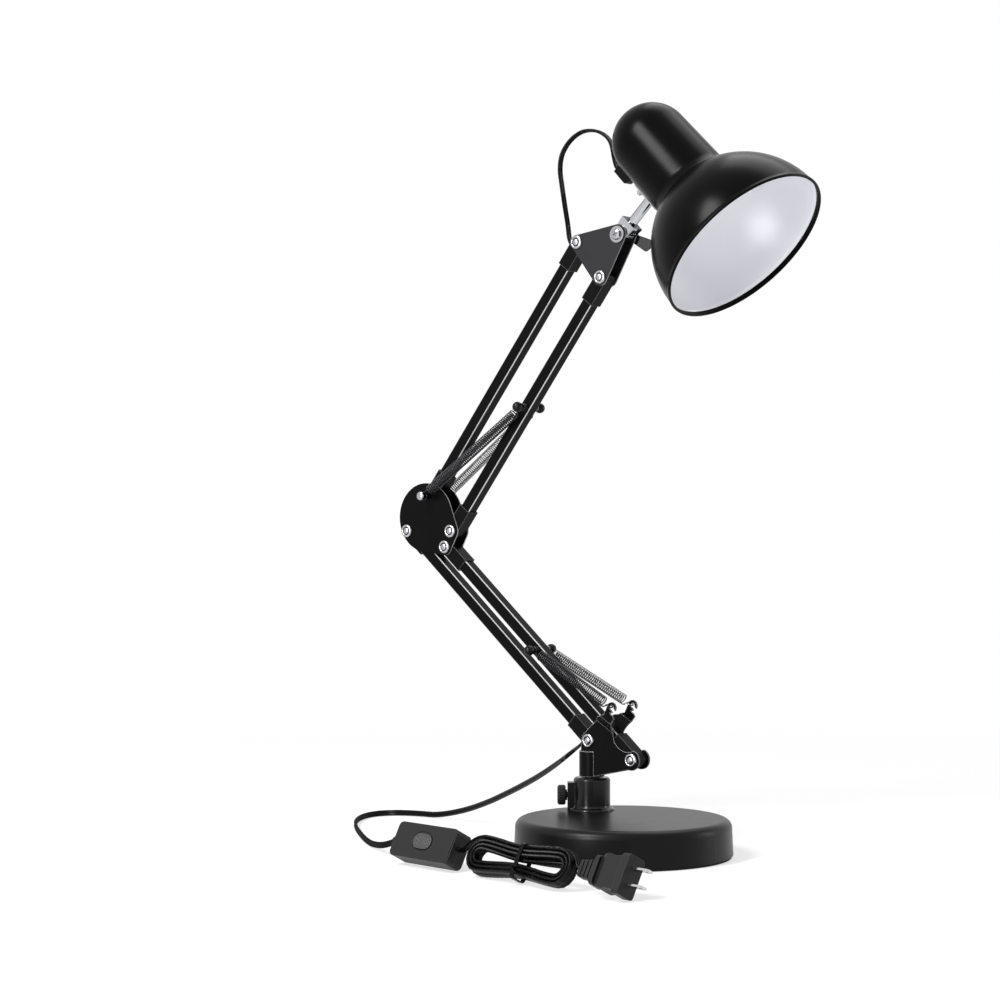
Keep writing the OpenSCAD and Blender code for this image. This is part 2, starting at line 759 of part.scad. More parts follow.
// Half of the shade's section, as [radius, distance behind the rim], inset by d from the outside
function shade_section(d) =
    let (arc = [for (k = [0 : 14]) let (s = neck_back * sin(90 * k / 14))
            [bell_at(s, rim_r) - d * bell_nx(s), s - d * bell_ny(s)]],
        side = [[housing_at(neck_back + 7) - d, neck_back + 7], [dome_r - d, dome_back]],
        cap = [for (k = [1 : 10]) [(dome_r - d) * cos(9 * k), dome_back + (dome_r - d) * sin(9 * k)]])
    concat(arc, side, cap);
function bell_slope(s) = let (n = [bell_at(s, rim_r) / pow(rim_r, 2), s / pow(bell_depth, 2)]) unit(n);
function bell_nx(s) = bell_slope(s)[0];
function bell_ny(s) = bell_slope(s)[1];

module shade_skin(from, to) {
    outer = shade_section(from);
    inner = shade_section(to);
    rotate_extrude() polygon(concat(outer, [for (i = [len(inner) - 1 : -1 : 0]) inner[i]]));
}

module shade_shell() {
    color("#161618")
    in_shade() difference() {
        union() {
            shade_skin(0, shade_wall);
            rotate_extrude() translate([rim_r - 0.5, 0.2]) circle(r = 1.2);
        }
        translate([0, 0, saddle_screw]) rotate([0, -90, 0]) cylinder(r = saddle_hole, h = 60);
        translate([0, 0, gland_back]) rotate([0, -90, 0]) cylinder(r = gland_r + touch, h = 60);
    }
}

// The white coat starts behind the rolled rim and ends in the housing's mouth
enamel_from = 1.6;
enamel_to = neck_back + 11;

module shade_enamel() {
    color("#f2f2f4")
    in_shade() intersection() {
        shade_skin(shade_wall + 0.02, shade_wall + 0.02 + enamel_t);
        translate([0, 0, enamel_from]) cylinder(r = rim_r, h = enamel_to - enamel_from);
    }
}

// Lampholder: a moulded body with a screw shell and a centre contact, on a strap inside the housing

holder_r = 18;
holder_len = 29;

// The screw shell starts a little inside the holder's mouth, and the centre contact stands behind its thread
shell_from = holder_mouth + 2;
screw_wall = 0.6;
contact_from = shell_from + thread_len + gap;
contact_h = 3;

module holder_body() {
    bore = thread_r + screw_wall + touch;
    deep = contact_from + contact_h - holder_mouth;
    color("#222224")
    in_shade() translate([0, 0, holder_mouth])
        rotate_extrude() polygon([[bore, 0], [holder_r, 0], [holder_r, holder_len - 5],
            [holder_r - 3, holder_len], [0, holder_len], [0, deep], [bore, deep]]);
}

module holder_shell() {
    color("#c8a24a")
    in_shade() translate([0, 0, shell_from]) difference() {
        cylinder(r = thread_r + screw_wall, h = thread_len);
        translate([0, 0, -1]) cylinder(r = thread_r, h = thread_len + 2);
    }
}

module holder_contact() {
    color("#c8a24a")
    in_shade() translate([0, 0, contact_from]) {
        translate([0, 0, 1.6]) cylinder(r = 3, h = contact_h - 1.6 - touch);
        translate([-1.5, -3, 0.4]) cube([7, 6, 0.6]);
        translate([4.8, -3, 0.4]) cube([0.7, 6, contact_h - 0.4 - touch]);
        cylinder(r = 2.6, h = 1.8);
    }
}

// A strap inside the housing: the holder is riveted to its web and the saddle's screw holds its leg
module holder_strap() {
    web_s = holder_mouth + holder_len + touch;
    color("#b5b5b8")
    in_shade() difference() {
        union() {
            translate([-strap_leg, -strap_w / 2, web_s]) cube([strap_leg + 9, strap_w, strap_t]);
            translate([-strap_leg, -strap_w / 2, saddle_screw - 6])
                cube([strap_t, strap_w, web_s + strap_t - saddle_screw + 6]);
            translate([0, 0, web_s]) cylinder(r = 12, h = strap_t);
        }
        translate([0, 0, saddle_screw]) rotate([0, -90, 0]) cylinder(r = saddle_hole, h = 60);
        translate([-strap_leg + strap_t + 3, -3.6, web_s - 1]) cube([6, 7.2, 4]);
    }
}

// Leads near the head

gland_back = 128;
gland_r = 3.5;
gland_deep = 7.2;
lead_back = 141;
lead_out = dome_r + 4.2;

// A soft elbow where the cord enters the housing: a neck through the wall and a foot that the cord runs into
module lead_gland() {
    wall = housing_at(gland_back);
    color("#0e0e0f")
    in_shade() {
        translate([0, 0, gland_back]) rotate([0, -90, 0]) {
            translate([0, 0, wall - 5]) cylinder(r = gland_r, h = 9);
            translate([0, 0, wall - shade_wall - 2.2]) cylinder(r = gland_r + 1.4, h = 2);
        }
        intersection() {
            upright(-gland_deep / 2, gland_deep / 2)
                belt([[-wall - 4.2, gland_back - 1, 3.5], [-wall - 3.2, gland_back - 2, 2.6],
                    [-lead_out + 0.5, lead_back, 3.3], [-lead_out, lead_back, 3.3]]);
            translate([-lead_out - 10, -10, lead_back - 60]) cube([80, 20, 60]);
        }
    }
}

// The cord's way from the upper bar to the housing, as [x, z] from the post's axis
lead_h = mouth_h + gap;
head_mouth = beside_bar(head_a, upper_angle, -slot_mid, lead_h);
gland_mouth = rim_at - lead_out * ray(rod_angle) - (lead_back + touch) * ray(shade_angle);
lead_points = [head_mouth, head_mouth + 3 * ray(upper_angle + 90), [-23.8, 517], [-25.2, 527], [-28.3, 543],
    [-31.3, 560], [-33.5, 575.5], [-31, 588.5], [-22.5, 599], [-10.5, 605], [2, 605], [13, 600.5],
    [20.3, 592.5], gland_mouth + [-4.2, 8.6], gland_mouth - 3 * ray(shade_angle), gland_mouth];

// The stretch of a route between two of its points. Its ends stand square to the route and just short of them.
module lead(points, first, last) {
    route = smooth([for (p = points) at3(p, 0)], 2);
    turns = ways(route);
    picked = [for (i = [2 * first : 2 * last]) i];
    short = [for (i = picked) i == 2 * first ? touch : i == 2 * last ? -touch : 0];
    color("#1c1c1e")
    arms() tube([for (k = [0 : len(picked) - 1]) route[picked[k]] + short[k] * turns[picked[k]]],
        cord_w, cord_t, 8, [0, 1, 0], given = [for (i = picked) turns[i]]);
}

lead_top = 9;
module lead_rise() { lead(lead_points, 0, lead_top); }
module lead_drop() { lead(lead_points, lead_top, len(lead_points) - 1); }

// The bridge of cord inside the elbow, from the lower bar to the upper bar
elbow_mouth_a = beside_bar(elb_a, lower_angle, -slot_mid, -lead_h);
elbow_mouth_b = beside_bar(upp_a, upper_angle, slot_mid, -lead_h);
elbow_points = [elbow_mouth_a, elbow_mouth_a + 3 * ray(lower_angle - 90), elb_a + [15.5, 7], elb_a + [22, 12],
    elb_a + [30, 15], elb_a + [38, 18], elb_a + [42, 24], elbow_mouth_b + 3 * ray(upper_angle - 90), elbow_mouth_b];

elbow_mid = 4;
module lead_elbow_low() { lead(elbow_points, 0, elbow_mid); }
module lead_elbow_high() { lead(elbow_points, elbow_mid, len(elbow_points) - 1); }

// The line that the switch, the hank and the plug lie on: they stand on edge and lean back on it.
// Local X runs along the line, Y is the depth and Z the height up the lean.

line_turn = -9;
line_at = [-82, -147];
lean = 28;
line_up = 15;
hank_mid = 107;
plug_start = 173;

module on_line() {
    translate([line_at[0], line_at[1], 0]) rotate([0, 0, line_turn]) rotate([-lean, 0, 0])
        translate([0, -switch_t / 2, 0]) children();
}

function line_point(q) =
    let (b = q[1] - switch_t / 2, c = b * cos(lean) + q[2] * sin(lean), h = q[2] * cos(lean) - b * sin(lean))
    [line_at[0] + q[0] * cos(line_turn) - c * sin(line_turn),
        line_at[1] + q[0] * sin(line_turn) + c * cos(line_turn), h];

// The cord on the table, as points from the base's centre

cord_start = beside_bar(low_a, lower_angle, slot_mid, lead_h) + [post_x, 0];
cord_leave = cord_start + 3 * ray(lower_angle + 90);
cord_points = [[cord_start[0], post_y, cord_start[1]], [cord_leave[0], post_y, cord_leave[1]], [-66, 27.5, 83.5],
    [-78, 30, 76], [-96, 36, 66], [-120, 44, 54], [-146, 54, 43], [-174, 64, 32], [-204, 74, 21],
    [-236, 82, 11], [-268, 86, 4], [-296, 84, 1.8], [-316, 74, 1.5], [-324, 56, 1.5], [-318, 32, 1.5],
    [-300, 4, 1.5], [-274, -24, 1.5], [-246, -50, 1.5], [-216, -76, 1.8], [-188, -97, 3.5], [-162, -115, 7],
    [-142, -125.5, 12], line_point([-switch_len / 2 - 8, 0, line_up]), line_point([-switch_len / 2, 0, line_up])];

module cord_free() {
    color("#1c1c1e") tube(smooth(cord_points, 2), cord_t, cord_w, 8, [0, 0, 1]);
}

// Switch in the cord: two half shells that meet at the middle, and a rocker in the front one

rocker_l = 19;
rocker_h = 12.4;
rocker_tilt = 6;
rocker_at = [0, -4.5, switch_w / 2];
shell_wall = 2;

module stadium(l, h) {
    k = (l - h) / 2;
    belt([[k, 0, h / 2], [-k, 0, h / 2]]);
}

// A rounded block of the switch's outline between two depths, smaller by inset
module switch_block(y0, y1, inset) {
    x = switch_len / 2 - 4;
    r = 4 - inset;
    upright(y0, y1) belt([[x, 4, r], [x, switch_w - 4, r], [-x, switch_w - 4, r], [-x, 4, r]]);
}

module switch_shell(side) {
    parting = touch;
    difference() {
        union() {
            switch_block(side > 0 ? parting : -switch_t / 2 + 1, side > 0 ? switch_t / 2 - 1 : -parting, 0);
            switch_block(side > 0 ? parting : -switch_t / 2, side > 0 ? switch_t / 2 : -parting, 0.7);
        }
        switch_block(side > 0 ? -1 : -switch_t / 2 + shell_wall,
            side > 0 ? switch_t / 2 - shell_wall : 1, shell_wall);
        for (a = [-1, 1]) translate([a * switch_len / 2 - 5, -cord_w / 2 - touch, line_up - cord_t / 2 - touch])
            cube([10, cord_w + 2 * touch, cord_t + 2 * touch]);
    }
}

module switch_front() {
    mid = switch_w / 2;
    color("#161617")
    on_line() difference() {
        union() {
            switch_shell(-1);
            upright(-switch_t / 2 + 1, -3) translate([0, mid]) stadium(24.5, 17.5);
        }
        upright(-switch_t / 2 - 1, 1) translate([0, mid]) stadium(rocker_l + 1.8, rocker_h + 0.8);
        upright(-switch_t / 2 - 1, -switch_t / 2 + 0.8) translate([0, mid]) stadium(24, 17);
        translate([0, rocker_at[1], mid - 8.2]) cylinder(r = 1.5 + fit, h = 16.4);
    }
}

module switch_back() {
    color("#161617")
    on_line() difference() {
        switch_shell(1);
        for (x = [-26, 26], z = [7, switch_w - 7]) translate([x, switch_t / 2 + 1, z]) rotate([90, 0, 0])
            cylinder(r = 2.6, h = 2.2);
    }
}

// The rocker rests at off: the end nearest to the plug is in
module switch_rocker() {
    color("#232325")
    on_line() translate(rocker_at) rotate([0, 0, rocker_tilt]) {
        difference() {
            upright(-5.6, 2.5) stadium(rocker_l, rocker_h);
            for (x = [-7.6 : 1.9 : 7.6]) translate([x - 0.3, -6.2, -3.2]) cube([0.6, 0.9, 6.4]);
        }
        translate([0, 0, -8]) cylinder(r = 1.5, h = 16);
    }
}

// Hank: loops that spiral in on one layer and out on the next, drawn in at the waist

loop_rings = 24;
layer_off = cord_w / 2 + 0.4;
loop_pitch = cord_t + 0.5;
waist_in = 2.8;
inner_half = 4.6;
hank_z = 12.7;

function loop_half(t) = inner_half + loop_pitch * abs(t - hank_loops / 2);
function ease(x) = let (c = max(-1, min(1, x))) c * (3 - c * c) / 2;
function hank_layer(t) = layer_off * ease((t - hank_loops / 2) * 6);

// A loop's first ring is at the middle of its upper run
function loop_point(k, half) =
    let (j = (k + 4) % loop_rings, run = hank_len / 2,
        u = j <= 8 ? -run + j * hank_len / 8 : run - (j - 12) * hank_len / 8,
        drawn = half - waist_in * pow(cos(90 * u / run), 2))
    j <= 8 ? [u, drawn]
    : j < 12 ? [run + half * sin(45 * (j - 8)), half * cos(45 * (j - 8))]
    : j <= 20 ? [u, -drawn]
    : [-run - half * sin(45 * (j - 20)), -half * cos(45 * (j - 20))];

hank_path = concat(
    [for (q = [[switch_len / 2, 0, line_up], [switch_len / 2 + 3.5, 0, line_up], [switch_len / 2 + 8, -0.6, 17],
        [switch_len / 2 + 14, -1.8, 22.4], [switch_len / 2 + 21, -2.8, 26]]) q],
    [for (i = [-4 : loop_rings * hank_loops + 4])
        let (t = i / loop_rings, q = loop_point((i + loop_rings) % loop_rings, loop_half(t)))
        [hank_mid + q[0], hank_layer(t), hank_z + q[1]]],
    [for (q = [[plug_start - 16.5, 2.9, 25.7], [plug_start - 11, 2, 22], [plug_start - 7, 1, 17.6],
        [plug_start - 3.5, 0, 15.6], [plug_start, 0, line_up]]) q]);

function to_round(path) = [for (q = path) [q[0], q[1] * cord_t / cord_w, q[2]]];

module cord_hank() {
    echo(str("hank, least gap to itself in mm: ", least_gap(to_round(hank_path), cord_t, 6)));
    color("#1c1c1e") on_line() tube(hank_path, cord_w, cord_t, 6, [0, 1, 0]);
}

// The twist tie round the waist, with its two twisted ends
module hank_tie() {
    half = loop_half(0) - waist_in + cord_t / 2 + gap;
    deep = layer_off + cord_w / 2 + gap;
    r = 2.2;
    function corners(g) = [[deep - r, half - r, r + g], [-deep + r, half - r, r + g],
        [-deep + r, -half + r, r + g], [deep - r, -half + r, r + g]];
    color("#101011")
    on_line() translate([hank_mid + 2, 0, hank_z]) {
        rotate([90, 0, 90]) linear_extrude(4, center = true) difference() {
            belt(corners(1));
            belt(corners(0));
        }
        translate([0, -deep + 0.6, -6]) rotate([20, 0, 0]) translate([-1.6, -5.4, -1]) cube([3.2, 5, 1.8]);
        translate([0, -deep - 3.4, -6.4]) rotate([0, 38, 0]) translate([-0.6, -1, -1]) cube([7, 2, 1.6]);
    }
}

// Plug: a ribbed strain relief, a collar, a waisted grip and a front flange with two blades

relief_l = 17;
grip_from = 21;
grip_to = 43;
plug_l = 50;
blade_l = 17;
blade_w = 6.3;
blade_t = 1.5;

// A block of the plug between two distances along it: half as deep as x and half as high as y, with round edges
module plug_block(from, to, x, y, r) {
    translate([0, 0, from]) linear_extrude(to - from)
        belt([for (c = [[1, 1], [-1, 1], [-1, -1], [1, -1]]) [c[0] * (x - r), c[1] * (y - r), r]]);
}

module plug_body() {
    deep = switch_t;
    color("#141415")
    on_line() translate([plug_start, 0, line_up]) {
        rotate([90, 0, 90]) {
            linear_extrude(relief_l + 1) difference() {
                round_square(7.5, 2);
                square([cord_w, cord_t] + [0.1, 0.1], center = true);
            }
            for (i = [0 : 3]) plug_block(0.8 + 4.4 * i, 3.4 + 4.4 * i, 5.2 + 0.4 * i, 6.6 + 0.4 * i, 2);
            plug_block(relief_l, grip_from, 8.5, 11.5, 4);
            plug_block(grip_to, plug_l, deep / 2, plug_w / 2, 3);
        }
        intersection() {
            upright(-deep / 2 + 0.8, deep / 2 - 0.8)
                polygon([[grip_from - 1, -8], [24, -12.6], [29, -13.6], [36, -12.4], [grip_to + 1, -13.4],
                    [grip_to + 1, 13.4], [36, 12.4], [29, 13.6], [24, 12.6], [grip_from - 1, 8]]);
            linear_extrude(40, center = true) polygon([[grip_from - 1, -5], [26, -7.4], [grip_to + 1, -8.2],
                [grip_to + 1, 8.2], [26, 7.4], [grip_from - 1, 5]]);
        }
    }
}

module plug_blades() {
    color("#d8d8da")
    on_line() translate([plug_start + plug_l, 0, line_up]) for (side = [-1, 1])
        translate([0, 0, side * blade_gap / 2 - blade_t / 2]) linear_extrude(blade_t) difference() {
            union() {
                translate([touch, -blade_w / 2]) square([blade_l - 1.5, blade_w]);
                polygon([[blade_l - 2, -blade_w / 2], [blade_l, -blade_w / 2 + 1.3],
                    [blade_l, blade_w / 2 - 1.3], [blade_l - 2, blade_w / 2]]);
            }
            translate([blade_l - 4.3, 0]) circle(r = 1.5);
        }
}

base_cover();
base_ballast();
base_plate();
base_pad();
collar();
collar_nut();
thumb_screw();
bracket_hub();
bracket_plate_front();
bracket_plate_rear();
bracket_rivets();
lower_bar();
lower_bar_sleeves();
lower_link();
lower_link_sleeves();
lower_spring_pin();
lower_spring_front();
lower_spring_rear();
elbow_plate_front();
elbow_plate_rear();
elbow_rivets();
elbow_long_pin();
lead_elbow_low();
lead_elbow_high();
upper_bar();
upper_bar_sleeves();
upper_link();
upper_link_sleeves();
upper_spring_pin();
upper_spring_front();
upper_spring_rear();
head_plate_front();
head_plate_rear();
head_rivets();
head_bolt();
head_wing_nut();
knuckle();
head_rod();
rod_saddle();
shade_shell();
shade_enamel();
holder_strap();
holder_body();
holder_shell();
holder_contact();
lead_gland();
lead_rise();
lead_drop();
lead_in_lower_bar();
lead_in_upper_bar();
cord_free();
switch_front();
switch_back();
switch_rocker();
cord_hank();
hank_tie();
plug_body();
plug_blades();
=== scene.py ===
# %% [markdown]
# # A swing-arm desk lamp
# The hard parts of this lamp come from its CAD model: the base, the bars, the plates and the joints.
# Here they get their paint, metal and plastic, and the pieces that are all about looks, such as the wound
# springs, the twin cord and the spun shade, are made again with more detail. Everything is in metres, with
# the origin under the middle of the base. The arms swing in a plane that runs along X, and the front is -Y.

# %% Load the frame
import math
import bmesh
import bpy
from mathutils import Matrix, Vector


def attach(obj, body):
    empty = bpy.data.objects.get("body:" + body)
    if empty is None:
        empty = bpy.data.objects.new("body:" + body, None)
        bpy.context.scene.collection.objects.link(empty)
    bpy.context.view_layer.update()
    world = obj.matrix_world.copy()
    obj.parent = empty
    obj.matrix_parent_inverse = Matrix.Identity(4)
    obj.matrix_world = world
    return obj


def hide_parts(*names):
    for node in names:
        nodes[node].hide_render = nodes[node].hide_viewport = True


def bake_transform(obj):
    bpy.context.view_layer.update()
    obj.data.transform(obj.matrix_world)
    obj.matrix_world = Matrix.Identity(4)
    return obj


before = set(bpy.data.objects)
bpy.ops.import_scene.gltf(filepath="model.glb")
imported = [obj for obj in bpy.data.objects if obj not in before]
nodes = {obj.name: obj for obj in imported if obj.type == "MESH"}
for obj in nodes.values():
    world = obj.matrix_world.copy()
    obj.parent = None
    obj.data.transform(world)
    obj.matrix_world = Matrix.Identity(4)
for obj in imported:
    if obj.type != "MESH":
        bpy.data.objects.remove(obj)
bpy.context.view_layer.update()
scene = bpy.context.scene
MM = 0.001

# %% [markdown]
# ## Camera
# The picture was taken from a little above the table, from the front and to the shade's side, with a long
# lens. The turn, the height and the focal length were fitted to the rivets, the base's oval and the rim.
# A long lens far away keeps the bars nearly parallel, which a close wide lens would not.

# %% Camera
CAMERA_AT = Vector((1.1095, -1.5464, 0.2761))
CAMERA_TURN = 38.71
CAMERA_RISE = 0.48
LENS_MM = 83.2

camera_data = bpy.data.cameras.new("camera")
camera_data.sensor_width = 36
camera_data.lens = LENS_MM
camera_data.clip_end = 50
camera = bpy.data.objects.new("camera", camera_data)
scene.collection.objects.link(camera)
camera.location = CAMERA_AT
camera.rotation_euler = (math.radians(90 + CAMERA_RISE), 0, math.radians(CAMERA_TURN))
scene.camera = camera
print("camera:", LENS_MM, "mm lens,", round(CAMERA_AT.length, 2), "m from the base")

# %% [markdown]
# ## The linkage's points
# Each arm is a parallelogram: two bars of one length between two pairs of pivots. A handful of points in the
# arms' plane therefore places every piece. They are written as (x, z) from the post's axis, in millimetres,
# with the same numbers as the CAD source, and a helper carries them to the lamp's own frame.

# %% Points of the arms
POST = (-52.0, 27.0)
LOWER_ARM, LOWER_ANGLE = 268.0, 139.0
UPPER_ARM, UPPER_ANGLE = 269.5, 52.5
ROD_ANGLE, ROD_REACH, ROD_TO_RIM = 44.4, 73.6, 98.0
SHADE_ANGLE = ROD_ANGLE - 90


def ray(degrees):
    return Vector((math.cos(math.radians(degrees)), math.sin(math.radians(degrees))))


def place(flat, y=0.0):
    """A point (x, z) of the arms' plane, y to the rear of it, in metres in the lamp's frame."""
    return Vector((flat[0] + POST[0], y + POST[1], flat[1])) * MM


low_a = Vector((2.0, 90.0))
low_b = low_a + Vector((44.0, -14.0))
elb_a = low_a + LOWER_ARM * ray(LOWER_ANGLE)
upp_a = elb_a + Vector((26.0, 31.0))
upp_b = elb_a + Vector((50.5, 0.0))
head_a = upp_a + UPPER_ARM * ray(UPPER_ANGLE)
head_p = head_a + Vector((42.5, 3.5))
rim_at = head_p + ROD_REACH * ray(ROD_ANGLE) + ROD_TO_RIM * ray(SHADE_ANGLE)
low_knob = low_b + 0.5 * LOWER_ARM * ray(LOWER_ANGLE)
upp_knob = upp_b + 0.5 * UPPER_ARM * ray(UPPER_ANGLE)
hook_at = Vector((31.7, 119.6))
print("head bolt at", [round(v, 4) for v in place(head_p)], "rim's centre at", [round(v, 4) for v in place(rim_at)])

# %% [markdown]
# ## The cord's route
# The lead is a flat twin cord, 5.4 mm wide and 2.8 mm thick: two wires side by side with a groove between
# them. It is drawn as a tube whose section is that figure of eight, swept along a smooth curve. A curve
# object would lose the groove or turn the flat side over as it twists. So the section is drawn once as a face,
# and that face is extruded from ring to ring, with its wide side held along a chosen direction.

# %% Sweep helper
CORD_W, CORD_T = 5.4, 2.8
WIRE_R = CORD_T / 2
WIRE_OFF = CORD_W / 2 - WIRE_R
ROUND_TO, ROUND_STEP = 144, 24
TWIN = [(side * (WIRE_OFF + WIRE_R * math.cos(math.radians(t))), side * WIRE_R * math.sin(math.radians(t)))
        for side in (1, -1) for t in range(-ROUND_TO, ROUND_TO + 1, ROUND_STEP)]


def smooth_path(points, steps):
    """A Catmull-Rom curve through the points, with steps rings to each span."""
    out = []
    for i in range(len(points) - 1):
        a, b = points[max(i - 1, 0)], points[i]
        c, d = points[i + 1], points[min(i + 2, len(points) - 1)]
        for k in range(steps):
            u = k / steps
            out.append(0.5 * (2 * b + (c - a) * u + (2 * a - 5 * b + 4 * c - d) * u * u
                              + (3 * b - a - 3 * c + d) * u ** 3))
    return out + [points[-1]]


def frame_at(path, i, wide):
    """Where ring i stands: its width along wide, its thickness square to that, and its face along the path."""
    way = (path[min(i + 1, len(path) - 1)] - path[max(i - 1, 0)]).normalized()
    across = (wide - wide.dot(way) * way).normalized()
    turn = Matrix((across, way.cross(across), way)).transposed().to_4x4()
    return Matrix.Translation(path[i]) @ turn


def sweep(name, path, section, wide):
    """A closed tube along path (metres); section is (across, thick) in mm, and wide has a way for each ring."""
    wide = wide if isinstance(wide, list) else [wide] * len(path)
    mesh = bmesh.new()
    face = mesh.faces.new([mesh.verts.new((u * MM, v * MM, 0)) for u, v in section])
    stand = frame_at(path, 0, wide[0])
    bmesh.ops.transform(mesh, matrix=stand, verts=face.verts)
    for i in range(1, len(path)):
        grown = bmesh.ops.extrude_face_region(mesh, geom=[face])["geom"]
        face = next(part for part in grown if isinstance(part, bmesh.types.BMFace))
        step = frame_at(path, i, wide[i])
        bmesh.ops.transform(mesh, matrix=step @ stand.inverted(), verts=face.verts)
        stand = step
    bmesh.ops.recalc_face_normals(mesh, faces=mesh.faces)
    for face in mesh.faces:
        face.smooth = len(face.verts) == 4
    return make_object(name, mesh)


def make_object(name, mesh):
    data = bpy.data.meshes.new(name)
    mesh.to_mesh(data)
    mesh.free()
    piece = bpy.data.objects.new(name, data)
    scene.collection.objects.link(piece)
    return piece


def length_of(path):
    return sum((b - a).length for a, b in zip(path, path[1:]))


# %% [markdown]
# ## The cord on the table
# It leaves the lower bar's end beside the bracket, hangs down to the table behind the lamp, turns a wide
# bend there and comes forward to the switch. A flat cord bends easily only over its thin side, so it turns
# on edge on its way down and lies on edge in the bend. The route's points are the CAD route's own, so the detailed
# cord lies exactly where the plain one does.

# %% Free cord
SWITCH_T, SWITCH_LEN = 18.0, 70.0
LINE_AT, LINE_TURN, LEAN, LINE_UP = (-82.0, -147.0), -9.0, 28.0, 15.0
SLEEVE_W, POCKET_AT, SLOT_FROM = 12.6, 10.5, 3.4
SLOT_MID = (SLOT_FROM + POCKET_AT - 1) / 2
MOUTH_H = SLEEVE_W / 2 + 0.05


def line_point(q):
    """A point beside the line that switch, hank and plug lie on, all leaning back together."""
    b = q[1] - SWITCH_T / 2
    lean, turn = math.radians(LEAN), math.radians(LINE_TURN)
    c = b * math.cos(lean) + q[2] * math.sin(lean)
    h = q[2] * math.cos(lean) - b * math.sin(lean)
    return Vector((LINE_AT[0] + q[0] * math.cos(turn) - c * math.sin(turn),
                   LINE_AT[1] + q[0] * math.sin(turn) + c * math.cos(turn), h))


def beside_bar(pivot, angle, d, h):
    return pivot + d * ray(angle) + h * ray(angle + 90)


start = beside_bar(low_a, LOWER_ANGLE, SLOT_MID, MOUTH_H)
leave = start + 3 * ray(LOWER_ANGLE + 90)
table_route = [(start[0] + POST[0], POST[1], start[1]), (leave[0] + POST[0], POST[1], leave[1]),
               (-66, 27.5, 83.5), (-78, 30, 76), (-96, 36, 66), (-120, 44, 54), (-146, 54, 43), (-174, 64, 32),
               (-204, 74, 21), (-236, 82, 11), (-268, 86, 4), (-296, 84, 1.8), (-316, 74, 1.5), (-324, 56, 1.5),
               (-318, 32, 1.5), (-300, 4, 1.5), (-274, -24, 1.5), (-246, -50, 1.5), (-216, -76, 1.8),
               (-188, -97, 3.5), (-162, -115, 7), (-142, -125.5, 12),
               line_point((-SWITCH_LEN / 2 - 8, 0, LINE_UP)), line_point((-SWITCH_LEN / 2, 0, LINE_UP))]
EDGE_UP = CORD_W / 2 + 0.05
TWIST_RINGS = 36
free_path = [Vector((p.x, p.y, max(p.z, EDGE_UP))) * MM for p in smooth_path([Vector(q) for q in table_route], 6)]
out_of_bar, on_edge = Vector((0, 1, 0)), Vector((0, 0, 1))
faces_way = [out_of_bar.lerp(on_edge, min(i / TWIST_RINGS, 1)) for i in range(len(free_path))]
cord_free = sweep("cord_to_switch", free_path, TWIN, faces_way)
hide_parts("cord_free")
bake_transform(cord_free)
print("free cord:", round(length_of(free_path), 3), "m")

# %% [markdown]
# ## The hank
# What is left of the cord is folded into six loops and tied at the waist. The loops spiral inwards on the
# front layer and outwards again on the rear one, and every run is drawn in at the tie. A formula gives the
# path, so the loops stay an even distance apart and never cut through each other.

# %% Hank of six loops
HANK_MID, HANK_LEN, HANK_Z, PLUG_START = 107.0, 86.0, 12.7, 173.0
LOOPS, LOOP_RINGS, WAIST_IN, INNER_HALF = 6, 48, 2.8, 4.6
LAYER_OFF, LOOP_PITCH = CORD_W / 2 + 0.4, CORD_T + 0.5


def ease(x):
    c = max(-1.0, min(1.0, x))
    return c * (3 - c * c) / 2


def loop_point(k, half):
    """Ring k of a loop whose end folds have the radius half; ring 0 is in the middle of the upper run."""
    quarter = LOOP_RINGS / 6
    j, run = (k + quarter) % LOOP_RINGS, HANK_LEN / 2
    turn = 45 * 4 / quarter
    if j <= 2 * quarter or 3 * quarter <= j <= 5 * quarter:
        upper = j <= 2 * quarter
        u = -run + j * HANK_LEN / (2 * quarter) if upper else run - (j - 3 * quarter) * HANK_LEN / (2 * quarter)
        drawn = half - WAIST_IN * math.cos(math.radians(90 * u / run)) ** 2
        return (u, drawn if upper else -drawn)
    if j < 3 * quarter:
        a = math.radians(turn * (j - 2 * quarter))
        return (run + half * math.sin(a), half * math.cos(a))
    a = math.radians(turn * (j - 5 * quarter))
    return (-run - half * math.sin(a), -half * math.cos(a))


def hank_path():
    half_len = SWITCH_LEN / 2
    into = [(half_len, 0, LINE_UP), (half_len + 3.5, 0, LINE_UP), (half_len + 8, -0.6, 17),
            (half_len + 14, -1.8, 22.4), (half_len + 21, -2.8, 26)]
    out = [(PLUG_START - 16.5, 2.9, 25.7), (PLUG_START - 11, 2, 22), (PLUG_START - 7, 1, 17.6),
           (PLUG_START - 3.5, 0, 15.6), (PLUG_START, 0, LINE_UP)]
    loops = []
    reach = LOOP_RINGS // 6
    for i in range(-reach, LOOP_RINGS * LOOPS + reach + 1):
        t = i / LOOP_RINGS
        half = INNER_HALF + LOOP_PITCH * abs(t - LOOPS / 2)
        u, v = loop_point((i + LOOP_RINGS) % LOOP_RINGS, half)
        loops.append((HANK_MID + u, LAYER_OFF * ease((t - LOOPS / 2) * 6), HANK_Z + v))
    ends_in = smooth_path([Vector(q) for q in into + loops[:2]], 3)[:-4]
    ends_out = smooth_path([Vector(q) for q in loops[-2:] + out], 3)[4:]
    return ends_in + [Vector(q) for q in loops] + ends_out


layer_way = (line_point((0, 1, 0)) - line_point((0, 0, 0))).normalized()
hank_line = [line_point(q) * MM for q in hank_path()]
hank = sweep("cord_hank_loops", hank_line, TWIN, layer_way)
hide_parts("cord_hank")
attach(hank, "base")
print("hank:", round(length_of(hank_line), 3), "m of cord in", LOOPS, "loops")
